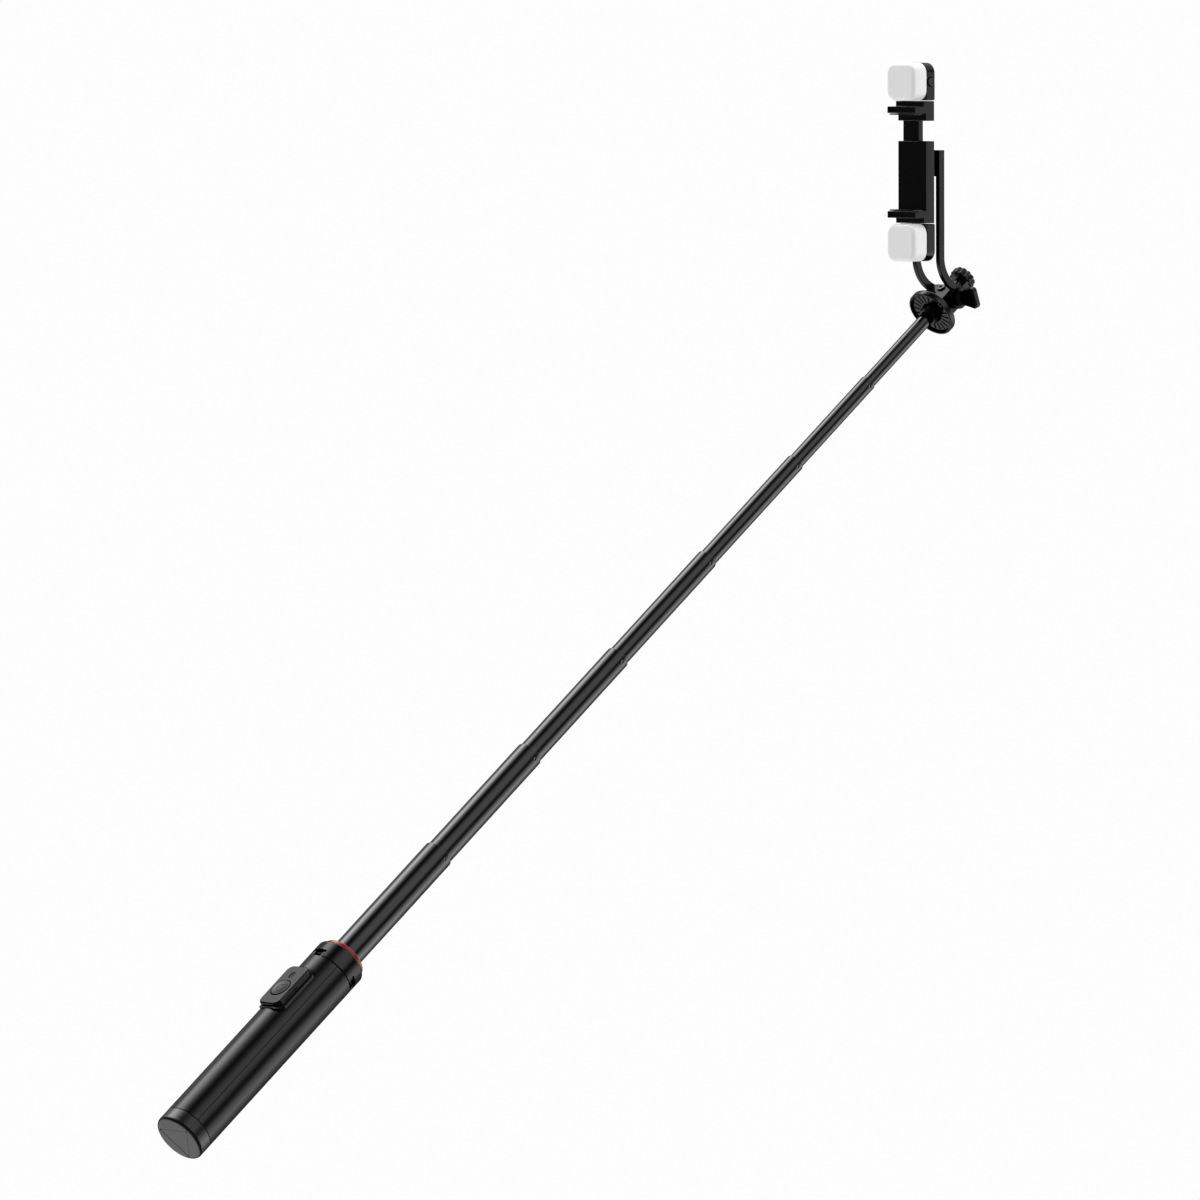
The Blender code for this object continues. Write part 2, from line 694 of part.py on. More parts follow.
def fork(tilt_axis):
    """Two arms and the bridge that joins them behind the clamp."""
    half = ARM_THICKNESS / 2
    hold = {"parent": tilt_axis}
    inner, outer = ARM_OFFSET - half, ARM_OFFSET + half
    body = prism("fork", arm_outline(), inner, outer, "satin_black", along=ALONG_X, **hold)
    other = prism("fork_left_arm", arm_outline(), -outer, -inner, along=ALONG_X, **hold)
    back = ARC_CENTRE[0] - ARC_OUTER
    low = (-ARM_OFFSET, back, CLAMP_CENTRE - 11)
    high = (ARM_OFFSET, back + 4.5, CLAMP_CENTRE + 9)
    bridge = box("fork_bridge", low, high, **hold)
    reach = ARM_OFFSET + 3
    pivot = cylinder("fork_pivot_bore", SCREW_BORE, -reach, reach, steps=16, along=ALONG_X, **hold)
    clamp_hole = {"location": (0, 0, CLAMP_CENTRE), **hold}
    swivel = cylinder("fork_swivel_bore", 2.6, 10, 30, steps=16, along=ALONG_Y, **clamp_hole)
    join(body, bridge, other)
    cut(body, pivot, swivel)


# ---------------------------------------------------------------- clamp and lamps


def span(low, high, sign):
    """Two heights above the clamp's centre, or as far below it where sign is -1, lowest first."""
    return sorted((sign * low, sign * high))


def jaw(name, sign, body, centre_axis):
    """Adds a jaw to the clamp body: a plate, and a block in front of it that holds the phone's edge."""
    hold = {"parent": centre_axis}
    wide = CLAMP_HALF_WIDTH
    lip = span(PAD_FACE + PAD_THICKNESS + GAP, JAW_END, sign)
    plate = span(JAW_END - 1, PLATE_END, sign)
    slot = span(39.2, 40.6, sign)
    pad = span(PAD_FACE, PAD_FACE + PAD_THICKNESS, sign)
    block = box(name + "_lip", (-wide, SCREEN - 1.7, lip[0]), (wide, CLAMP_FRONT + 0.5, lip[1]), **hold)
    shelf = box(name + "_plate", (-wide, SCREEN + 7.5, plate[0]), (wide, CLAMP_FRONT + 2, plate[1]), **hold)
    join(body, block, shelf)
    cut(body, box(name + "_slot", (-11, SCREEN - 3, slot[0]), (-1, SCREEN - 0.5, slot[1]), **hold))
    box(name + "_pad", (-13, SCREEN - 1.2, pad[0]), (13, SCREEN + 8.5, pad[1]), "soft_rubber", **hold)


def clamp(centre_axis):
    """Spring clamp: a sleeve with the lower jaw, and a slider with the upper jaw."""
    hold = {"parent": centre_axis}
    front, back = CLAMP_FRONT, CLAMP_BACK
    wide = CLAMP_HALF_WIDTH
    sleeve = box("clamp_sleeve", (-wide, front, -PLATE_END), (wide, back, SLEEVE_TOP), "satin_black", **hold)
    hollow = box("sleeve_hollow", (-12.1, front + 1.8, -43.5), (12.1, back - 1.8, SLEEVE_TOP + 1), **hold)
    jaw("lower_jaw", -1, sleeve, centre_axis)
    cut(sleeve, hollow)
    bore = cylinder("sleeve_bore", 2.6, -back - 1, 2 - back, steps=16, along=ALONG_Y, **hold)
    cut(sleeve, bore)

    ends = (-wide, front, SLIDER_SHOULDER), (wide, back, PLATE_END)
    slider = box("clamp_slider", *ends, "satin_black", **hold)
    tongue = box("slider_tongue", (-11.7, front + 2.2, -12), (5.0, back - 2.2, SLIDER_SHOULDER + 3), **hold)
    join(slider, tongue)
    jaw("upper_jaw", 1, slider, centre_axis)

    spring("clamp_spring", (8.7, SCREEN + 14.7, -42.6), 24.0, 2.0, 7, centre_axis)


def spring(name, foot_point, length, radius, turns, parent):
    """Coil spring along z, as a wire of small radius."""
    steps = 8
    count = turns * steps
    curve = bpy.data.curves.new(name, "CURVE")
    curve.dimensions = "3D"
    curve.bevel_depth = 0.35 * MM
    curve.bevel_resolution = 0
    curve.use_fill_caps = True
    wire = curve.splines.new("POLY")
    wire.points.add(count)
    for i, point in enumerate(wire.points):
        x, y = polar(radius, 360 * i / steps)
        point.co = (x * MM, y * MM, (0.6 + (length - 1.2) * i / count) * MM, 1)
    coil = bpy.data.objects.new(name, curve)
    PARTS.objects.link(coil)
    finish(coil, "bright_steel")
    coil.parent = parent
    coil.location = Vector(foot_point) * MM


def swivel(centre_axis):
    """Disc between the clamp and the fork, and the headed pin that they turn on."""
    hold = {"parent": centre_axis}
    front, back = -(SCREEN + 19.7), -(SCREEN + 24.2)
    ring = [(2.6, front), (11.0, front), (11.0, back), (2.6, back)]
    turned("swivel_disc", ring, "satin_black", loop=True, steps=24, along=ALONG_Y, **hold)
    bridge_back = -(ARC_CENTRE[0] - ARC_OUTER + 4.5 + GAP)
    pin = [
        (0, -(SCREEN + 18.0)),
        (2.2, -(SCREEN + 18.0)),
        (2.2, bridge_back),
        (5.0, bridge_back),
        (5.0, bridge_back - 2.0),
        (0, bridge_back - 2.0),
    ]
    turned("swivel_pin", pin, "bright_steel", steps=16, along=ALONG_Y, **hold)


def lamp(side, sign, centre_axis):
    """Fill lamp: a diffuser cap on a black housing with the LED board, its cell and a button on one side."""
    middle = (0, sign * LAMP_CENTRE)
    half = LAMP_HEIGHT / 2
    wide = CLAMP_HALF_WIDTH

    def slab(name, inset, corner, front, back, kind=None):
        outline = rounded_rectangle(wide - inset, half - inset, corner, 3, middle)
        low, high = -(SCREEN + back), -(SCREEN + front)
        return prism(name, outline, low, high, kind, along=ALONG_Y, parent=centre_axis)

    diffuser = slab(f"lamp_{side}_diffuser", 0, LAMP_CORNER, DIFFUSER_FRONT - SCREEN, 11.0, "lamp_white")
    soften_front(diffuser, DIFFUSER_FRONT)
    cut(diffuser, slab(f"diffuser_{side}_hollow", 1.8, LAMP_CORNER - 1.8, -0.6, 12.0))
    housing = slab(f"lamp_{side}_housing", 0, LAMP_CORNER, 11.3, 20.3, "satin_black")
    cut(housing, slab(f"housing_{side}_hollow", 1.6, LAMP_CORNER - 1.6, 10.0, 18.8))
    slab(f"lamp_{side}_board", 2.6, LAMP_CORNER - 2.6, 11.9, 13.1, "board_green")
    cell = (-9, SCREEN + 13.5, middle[1] - 8), (9, SCREEN + 18.4, middle[1] + 8)
    box(f"lamp_{side}_cell", *cell, "bright_steel", parent=centre_axis)
    # The lower lamp is the same module turned half round, so its button is on the left.
    spot = {"location": (0, SCREEN + 15.5, middle[1]), "parent": centre_axis}
    spot["rotation"] = (0, 0, 0 if sign > 0 else 180)
    radius = LAMP_BUTTON_RADIUS
    hole = cylinder(f"housing_{side}_hole", radius + GAP, wide - 3, wide + 2, along=ALONG_X, **spot)
    cut(housing, hole)
    button = [
        (0, wide + 0.8),
        (radius - 0.4, wide + 0.8),
        (radius, wide + 0.4),
        (radius, wide - 1.3),
        (0, wide - 1.3),
    ]
    turned(f"lamp_{side}_button", button, "soft_rubber", along=ALONG_X, **spot)


def soften_front(obj, front):
    """Rounds the edges of the face at the front by weighting them for the bevel."""
    work = bmesh.new()
    work.from_mesh(obj.data)
    layer = work.edges.layers.float.new("bevel_weight_edge")
    for edge in work.edges:
        if all(abs(corner.co.y - front * MM) < 0.01 * MM for corner in edge.verts):
            edge[layer] = 1.0
    work.to_mesh(obj.data)
    work.free()
    bevel = obj.modifiers.new("Front rounding", "BEVEL")
    bevel.width = 2.5 * MM
    bevel.segments = 3
    bevel.limit_method = "WEIGHT"


def head():
    disc()
    pan_block()
    pan_screw()
    tilt_screws()
    tilt_axis = axis_empty("tilt_axis", (0, 0, TILT_HEIGHT), (FORK_LEAN, 0, 0))
    fork(tilt_axis)
    clamp_axis = axis_empty("clamp_axis", (0, 0, CLAMP_CENTRE), parent=tilt_axis)
    clamp(clamp_axis)
    swivel(clamp_axis)
    lamp("upper", 1, clamp_axis)
    lamp("lower", -1, clamp_axis)


shells = handle()
remote(shells["front"])
telescope()
head()
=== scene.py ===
"""Visual model of the selfie stick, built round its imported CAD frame.

Every solid is drawn in millimetres, in the row frame or in the frame of the fork, and is scaled to metres
when it takes the place of its CAD node. Sizes come from the extents of the CAD nodes and from the record's
joints; the constants are details within them.
"""

import json
import math

import bmesh
import bpy
from mathutils import Matrix, Vector

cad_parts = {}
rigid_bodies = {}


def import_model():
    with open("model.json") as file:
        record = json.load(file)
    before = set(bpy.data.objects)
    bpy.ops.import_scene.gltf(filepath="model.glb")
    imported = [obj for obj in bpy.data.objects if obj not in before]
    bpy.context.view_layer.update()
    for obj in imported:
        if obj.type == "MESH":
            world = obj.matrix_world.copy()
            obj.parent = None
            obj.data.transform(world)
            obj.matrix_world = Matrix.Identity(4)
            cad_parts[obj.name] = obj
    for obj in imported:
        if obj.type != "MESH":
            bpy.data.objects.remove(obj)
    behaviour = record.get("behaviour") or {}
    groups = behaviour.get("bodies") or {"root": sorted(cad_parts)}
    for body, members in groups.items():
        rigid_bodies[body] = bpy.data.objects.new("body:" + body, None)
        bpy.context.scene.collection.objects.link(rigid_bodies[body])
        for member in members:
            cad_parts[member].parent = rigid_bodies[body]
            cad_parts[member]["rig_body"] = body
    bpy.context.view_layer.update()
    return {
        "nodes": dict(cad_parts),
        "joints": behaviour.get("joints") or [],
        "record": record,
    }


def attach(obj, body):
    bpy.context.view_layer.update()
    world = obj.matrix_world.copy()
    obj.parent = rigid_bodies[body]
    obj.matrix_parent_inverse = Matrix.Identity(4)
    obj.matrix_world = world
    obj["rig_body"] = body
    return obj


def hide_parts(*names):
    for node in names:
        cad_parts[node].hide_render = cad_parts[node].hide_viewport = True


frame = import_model()

MM = 0.001
GAP = 0.3
FINE = 96
RECORD = frame["record"]
SLOTS = {part["node"]: part["material_slot"] for part in RECORD["subparts"]}
BODIES = {node: obj["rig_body"] for node, obj in frame["nodes"].items()}
JOINTS = {joint["name"]: joint for joint in frame["joints"]}

ALONG_Z = Matrix.Identity(4)
ALONG_X = Matrix(((0, 0, 1, 0), (1, 0, 0, 0), (0, 1, 0, 0), (0, 0, 0, 1)))
ALONG_Y = Matrix(((1, 0, 0, 0), (0, 0, -1, 0), (0, 1, 0, 0), (0, 0, 0, 1)))


def shift(x=0.0, y=0.0, z=0.0):
    return Matrix.Translation((x, y, z))


def about(axis, angle):
    return Matrix.Rotation(math.radians(angle), 4, axis)


# Frame of the fork: x to the right, y behind the screen and z up the phone, from the tilt axis.
PIVOT = Vector(JOINTS["tilt"]["pos_m"]) / MM
HEAD = Matrix.Identity(4)
HEAD.col[1][:3] = Vector(JOINTS["clamp_turn"]["axis"])
HEAD.col[2][:3] = Vector(JOINTS["jaw_slide"]["axis"])
HEAD.translation = PIVOT


def extent(node, local=ALONG_Z):
    """Lowest and highest corner of a CAD node in this frame, in millimetres."""
    inverse = (Matrix.Scale(MM, 4) @ local).inverted()
    points = [inverse @ vertex.co for vertex in frame["nodes"][node].data.vertices]
    return Vector(map(min, zip(*points))), Vector(map(max, zip(*points)))


# ---------------------------------------------------------------- outlines


def polar(radius, angle, centre=(0.0, 0.0)):
    turn = math.radians(angle)
    return (centre[0] + radius * math.cos(turn), centre[1] + radius * math.sin(turn))


def arc(radius, start, end, steps, centre=(0.0, 0.0)):
    return [polar(radius, start + (end - start) * i / steps, centre) for i in range(steps + 1)]


def fillet(points, closed=False, steps=5):
    """Rounds each corner that is given as (x, y, radius)."""
    out = []
    last = len(points) - 1
    for i, point in enumerate(points):
        here = Vector(point[:2])
        if len(point) < 3 or (not closed and i in (0, last)):
            out.append(tuple(here))
            continue
        radius = point[2]
        back = (Vector(points[i - 1][:2]) - here).normalized()
        ahead = (Vector(points[(i + 1) % len(points)][:2]) - here).normalized()
        half = back.angle(ahead) / 2
        centre = here + (back + ahead).normalized() * radius / math.sin(half)
        start = here + back * radius / math.tan(half) - centre
        end = here + ahead * radius / math.tan(half) - centre
        first = math.atan2(start.y, start.x)
        sweep = (math.atan2(end.y, end.x) - first + math.pi) % (2 * math.pi) - math.pi
        for k in range(steps + 1):
            angle = first + sweep * k / steps
            out.append((centre.x + radius * math.cos(angle), centre.y + radius * math.sin(angle)))
    return out


def rounded_rectangle(half_width, half_height, corners, centre=(0.0, 0.0), steps=8):
    """Counter-clockwise from the right side. Corners are top right, top left, bottom left, bottom right."""
    points = []
    for (turn, x, y), corner in zip(((0, 1, 1), (90, -1, 1), (180, -1, -1), (270, 1, -1)), corners):
        middle = (centre[0] + x * (half_width - corner), centre[1] + y * (half_height - corner))
        points += arc(corner, turn, turn + 90, steps, middle)
    return points


# ---------------------------------------------------------------- solids, in millimetres


def solid(work, matrix=ALONG_Z):
    """An object made from this bmesh, with its faces turned outwards."""
    bmesh.ops.recalc_face_normals(work, faces=work.faces)
    mesh = bpy.data.meshes.new("solid")
    work.to_mesh(mesh)
    work.free()
    mesh.transform(matrix)
    obj = bpy.data.objects.new("solid", mesh)
    bpy.context.scene.collection.objects.link(obj)
    return obj


def loft(rings, closed=False, matrix=ALONG_Z):
    """A skin through rings of points, where a ring of one point is a pole. Open ends are capped."""
    work = bmesh.new()
    rows = [[work.verts.new(point) for point in ring] for ring in rings]
    pairs = list(zip(rows, rows[1:]))
    if closed:
        pairs.append((rows[-1], rows[0]))
    for low, high in pairs:
        count = max(len(low), len(high))
        for i in range(count):
            j = (i + 1) % count
            corners = [low[i % len(low)], low[j % len(low)], high[j % len(high)], high[i % len(high)]]
            work.faces.new(list(dict.fromkeys(corners)))
    if not closed:
        for ring in (rows[0], rows[-1]):
            if len(ring) > 1:
                work.faces.new(ring)
    return solid(work, matrix)


def turned(profile, closed=False, steps=FINE, matrix=ALONG_Z):
    """A profile of (radius, height) turned about z."""
    rings = []
    for radius, height in profile:
        if radius < 1e-4:
            rings.append([(0, 0, height)])
        else:
            rings.append([(*polar(radius, 360 * i / steps), height) for i in range(steps)])
    return loft(rings, closed, matrix)


def rod(radius, low, high, edge=0.0, steps=48, matrix=ALONG_Z):
    """A cylinder, with rounded ends where edge isn't 0."""
    profile = [(0, high), (radius, high, edge), (radius, low, edge), (0, low)]
    if not edge:
        profile = [point[:2] for point in profile]
    return turned(fillet(profile, steps=3), steps=steps, matrix=matrix)


def prism(outline, low, high, edge=0.0, segments=3, matrix=ALONG_Z):
    """An outline extruded along z, with rounded edges where edge isn't 0."""
    obj = loft([[(x, y, low) for x, y in outline], [(x, y, high) for x, y in outline]])
    if edge:
        round_edges(obj, edge, segments)
    obj.data.transform(matrix)
    return obj


def slab(size, corners, low, high, edges=(0.0, 0.0), centre=(0.0, 0.0), matrix=ALONG_Z, steps=5):
    """A rounded rectangle extruded along z, with its own rounding at the low and at the high end."""
    rings = []
    for end, edge, way in ((low, edges[0], 1), (high, edges[1], -1)):
        levels = []
        for k in range(steps + 1 if edge else 1):
            angle = math.pi / 2 * k / steps if edge else math.pi / 2
            inset = edge * (1 - math.sin(angle))
            height = end + way * edge * (1 - math.cos(angle))
            kept = [max(corner - inset, 0.05) for corner in corners]
            outline = rounded_rectangle(size[0] - inset, size[1] - inset, kept, centre)
            levels.append([(x, y, height) for x, y in outline])
        rings += levels if way > 0 else levels[::-1]
    return loft(rings, matrix=matrix)


def block(low, high, edge=0.0, segments=3, matrix=ALONG_Z):
    """A box between two corners, with rounded edges where edge isn't 0."""
    outline = [(low[0], low[1]), (high[0], low[1]), (high[0], high[1]), (low[0], high[1])]
    return prism(outline, low[2], high[2], edge, segments, matrix)


def applied(obj):
    graph = bpy.context.evaluated_depsgraph_get()
    mesh = bpy.data.meshes.new_from_object(obj.evaluated_get(graph))
    obj.modifiers.clear()
    obj.data = mesh
    return obj


def round_edges(obj, width, segments=3, angle=38):
    bevel = obj.modifiers.new("Bevel", "BEVEL")
    bevel.width = width
    bevel.segments = segments
    bevel.limit_method = "ANGLE"
    bevel.angle_limit = math.radians(angle)
    return applied(obj)


def combine(obj, tools, operation):
    for tool in tools:
        step = obj.modifiers.new("Boolean", "BOOLEAN")
        step.operation = operation
        step.solver = "EXACT"
        step.object = tool
    applied(obj)
    for tool in tools:
        bpy.data.objects.remove(tool, do_unlink=True)
    return obj


def cut(obj, *tools):
    return combine(obj, tools, "DIFFERENCE")


def join(obj, *tools):
    return combine(obj, tools, "UNION")


# ---------------------------------------------------------------- materials

# Colour, roughness, strength and scale of the grain. The optional entries are the metallic share, how
# strongly the surface reflects, how much its colour drifts, how far light enters it and how much it glows,
# which is painted light standing in for the light that falls on it.
# A sheen is how strongly it reflects when it is seen face on and when it is seen at a low angle.
FINISHES = {
    "satin_black_plastic": {
        "colour": (0.0030, 0.0030, 0.0032),
        "rough": 0.17,
        "grain": 0.08,
        "size": 2200,
        "sheen": (0.40, 0.20),
        "sheen_span": (0.14, 0.50),
    },
    "gloss_black_plastic": {
        "colour": (0.0025, 0.0025, 0.0027),
        "rough": 0.07,
        "grain": 0.02,
        "size": 1500,
        "sheen": (0.38, 0.08),
        "sheen_span": (0.28, 0.50),
    },
    "soft_rubber": {"colour": (0.0065, 0.0065, 0.0068), "rough": 0.27, "grain": 0.18, "size": 2600},
    "black_tube": {
        "colour": (0.0030, 0.0030, 0.0033),
        "rough": 0.06,
        "grain": 0.03,
        "size": 900,
        "gloss": 0.55,
    },
    "red_plastic": {"colour": (0.42, 0.008, 0.014), "rough": 0.24, "grain": 0.06, "size": 1800},
    "bright_steel": {
        "colour": (0.62, 0.62, 0.63),
        "rough": 0.18,
        "grain": 0.10,
        "size": 1500,
        "metal": 1.0,
    },
    "nylon": {"colour": (0.76, 0.75, 0.70), "rough": 0.45, "grain": 0.15, "size": 1800},
    "lamp_white": {
        "colour": (0.86, 0.86, 0.86),
        "rough": 0.42,
        "grain": 0.05,
        "size": 1600,
        "soft": 0.15,
        "drift": 0.01,
        # Painted light: the opal cap glows evenly in place of the front light that falls on it.
        "painted_light_glow": 0.43,
    },
    "circuit_board": {"colour": (0.012, 0.10, 0.035), "rough": 0.35, "grain": 0.12, "size": 1200},
}
# The drawn grain of tubes and steel runs along Z.
STRETCH = {"black_tube": (1.0, 1.0, 0.04), "bright_steel": (1.0, 1.0, 0.15)}


def material(slot):
    """Principled surface whose colour and roughness drift slowly, over a fine moulded or drawn grain."""
    finish = FINISHES[slot]
    made = bpy.data.materials.new(slot)
    made.use_nodes = True
    nodes, links = made.node_tree.nodes, made.node_tree.links
    shader = nodes["Principled BSDF"]
    coordinates = nodes.new("ShaderNodeTexCoord")
    stretch = nodes.new("ShaderNodeMapping")
    stretch.inputs["Scale"].default_value = STRETCH.get(slot, (1.0, 1.0, 1.0))
    links.new(coordinates.outputs["Object"], stretch.inputs["Vector"])

    def noise(scale, detail):
        node = nodes.new("ShaderNodeTexNoise")
        node.inputs["Scale"].default_value = scale
        node.inputs["Detail"].default_value = detail
        links.new(stretch.outputs["Vector"], node.inputs["Vector"])
        return node.outputs["Fac"]

    def spread(source, low, high, start=0.3, end=0.7):
        node = nodes.new("ShaderNodeMapRange")
        node.inputs["From Min"].default_value = start
        node.inputs["From Max"].default_value = end
        node.inputs["To Min"].default_value = low
        node.inputs["To Max"].default_value = high
        links.new(source, node.inputs["Value"])
        return node.outputs["Result"]

    drift = noise(70, 3)
    tint = nodes.new("ShaderNodeMix")
    tint.data_type = "RGBA"
    change = finish.get("drift", 0.12)
    tint.inputs["A"].default_value = (*[(1 - change) * c for c in finish["colour"]], 1)
    tint.inputs["B"].default_value = (*[min((1 + change) * c, 0.95) for c in finish["colour"]], 1)
    links.new(spread(drift, 0, 1), tint.inputs["Factor"])
    links.new(tint.outputs["Result"], shader.inputs["Base Color"])
    rough = finish["rough"]
    links.new(spread(noise(320, 4), 0.85 * rough, 1.15 * rough), shader.inputs["Roughness"])
    shader.inputs["Metallic"].default_value = finish.get("metal", 0.0)
    shader.inputs["Specular IOR Level"].default_value = finish.get("gloss", 0.5)
    if "sheen" in finish:
        # Black plastic shines less where it is seen at a low angle.
        facing = nodes.new("ShaderNodeLayerWeight")
        facing.inputs["Blend"].default_value = 0.5
        sheen = spread(facing.outputs["Facing"], *finish["sheen"], *finish["sheen_span"])
        links.new(sheen, shader.inputs["Specular IOR Level"])
    shader.inputs["Emission Color"].default_value = (1, 1, 1, 1)
    # The glow is painted light, standing in for light that falls on the surface.
    shader.inputs["Emission Strength"].default_value = finish.get("painted_light_glow", 0.0)
    if "soft" in finish:
        shader.inputs["Subsurface Weight"].default_value = finish["soft"]
        shader.inputs["Subsurface Radius"].default_value = (1, 1, 1)
        shader.inputs["Subsurface Scale"].default_value = 2 * MM
    bump = nodes.new("ShaderNodeBump")
    bump.inputs["Strength"].default_value = finish["grain"]
    bump.inputs["Distance"].default_value = 0.05 * MM
    links.new(noise(finish["size"], 2), bump.inputs["Height"])
    links.new(bump.outputs["Normal"], shader.inputs["Normal"])
    return made


MATERIALS = {slot: material(slot) for slot in FINISHES}


def show(node, obj, extra=None, slot=None):
    """Puts a solid in the place of a CAD node, or shows it as an extra piece beside that node."""
    obj.data.transform(Matrix.Scale(MM, 4))
    obj.name = extra or node + "_visual"
    mesh = obj.data
    mesh.name = obj.name
    mesh.materials.clear()
    slot = slot or SLOTS[node]
    mesh.materials.append(MATERIALS[slot])
    mesh.shade_smooth()
    mesh.set_sharp_from_angle(angle=math.radians(32))
    normals = obj.modifiers.new("Normals", "WEIGHTED_NORMAL")
    normals.keep_sharp = True
    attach(obj, BODIES[node])
    if not extra:
        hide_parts(node)
    return obj


# ---------------------------------------------------------------- handle and legs

COLLAR_LOW, COLLAR_HIGH = extent("collar")
HANDLE_RADIUS = COLLAR_HIGH.x
GUIDE_RADIUS = extent("guide_tube")[1].x
LEG_INNER = 13.6
LEG_WALL = 2.4
LEG_HEAD = 9.6
SEAM = 0.08
CORE_INRADIUS = 8.5
PIN_BORE = 1.2
DOCK_LOW, DOCK_HIGH = extent("remote_dock")
DOCK_RIM = 21.6
DOCK_CORNER = 6.8
WINDOW_HALF_WIDTH = 6.25
EAR_SPACE = 3.9
PIN_REACH = 7.8
SIDES = ("front", "right", "left")


def hinge_place(side):
    """Radius, angle and height of a leg's hinge."""
    x, y, z = Vector(JOINTS[f"leg_{side}_hinge"]["pos_m"]) / MM
    return math.hypot(x, y), math.degrees(math.atan2(y, x)), z


def seam_angle(radius, offset=SEAM):
    return 60.0 - math.degrees(math.asin(offset / radius))


def sector(inner, outer, offset, steps=28):
    wide = seam_angle(outer, offset)
    if not inner:
        return arc(outer, -wide, wide, steps) + [(offset / math.sin(math.radians(60)), 0.0)]
    narrow = seam_angle(inner, offset)
    return arc(outer, -wide, wide, steps) + arc(inner, narrow, -narrow, steps)


def slot_box(half_width, corner, depth, height, centre):
    """An upright rounded opening that runs along -y, for the remote's dock."""
    return slab((half_width, height), (corner,) * 4, *depth, centre=centre, matrix=ALONG_Y)


def build_leg(side):
    radius, turn, hinge = hinge_place(side)
    spin = about("Z", turn)
    low = extent("foot_" + side)[1].z + GAP
    top = COLLAR_LOW.z - 0.6
    half_lug, lug = 5.9, 2.0
    leg = prism(sector(LEG_INNER, HANDLE_RADIUS, SEAM), low, top, 0.3)
    cut(leg, prism(sector(0, HANDLE_RADIUS - LEG_WALL, SEAM + LEG_WALL), low - 1, top - LEG_HEAD))
    ear = [(radius - lug, top - 3), (radius + lug, top - 3), *arc(lug, 0, 180, 16, (radius, hinge))]
    join(leg, prism(ear, -half_lug, half_lug, 0.25, matrix=ALONG_Y))
    cut(leg, rod(PIN_BORE, -8, 8, steps=32, matrix=shift(radius, 0, hinge) @ ALONG_Y))
    # Only two ears of the lug stand beside the hinge, over a dark hollow.
    hollow_low = (radius - lug - 1, -EAR_SPACE, top + 0.1)
    hollow_high = (radius + lug + 1, EAR_SPACE, hinge + lug + 1)
    cut(leg, block(hollow_low, hollow_high))
    leg.data.transform(spin)
    if side == "front":
        centre = (0, (DOCK_LOW.z + DOCK_HIGH.z) / 2)
        half = (DOCK_HIGH.z - DOCK_LOW.z) / 2
        cut(leg, slot_box(DOCK_HIGH.x + GAP, 7.0, (12, 23), half + GAP, centre))
    show("leg_" + side, leg)


def build_foot(side):
    turn = hinge_place(side)[1]
    height = extent("foot_" + side)[1].z
    profile = [(0, height), (HANDLE_RADIUS, height, 0.3), (HANDLE_RADIUS, 0, 2.4), (0, 0)]
    foot = turned(fillet(profile, steps=7))
    inner = CORE_INRADIUS + (0.45 if side == "left" else 0.12)
    half = inner * math.tan(math.radians(60)) - SEAM / math.cos(math.radians(60))
    reach = HANDLE_RADIUS + 3
    wedge = [(inner, -half), *arc(reach, -seam_angle(reach), seam_angle(reach), 12), (inner, half)]
    combine(foot, [prism(wedge, -1, height + 1)], "INTERSECT")
    foot.data.transform(about("Z", turn))
    show("foot_" + side, foot)


def build_pin(side):
    radius, turn, height = hinge_place(side)
    place = about("Z", turn) @ shift(radius, 0, height) @ ALONG_Y
    pin = rod(0.9, -PIN_REACH, PIN_REACH, 0.25, steps=32, matrix=place)
    # The steel pin takes the black plastic finish as painted shade, so that it reads as part of the shaded
    # hollow between the ears.
    show("leg_pin_" + side, pin, slot="satin_black_plastic")


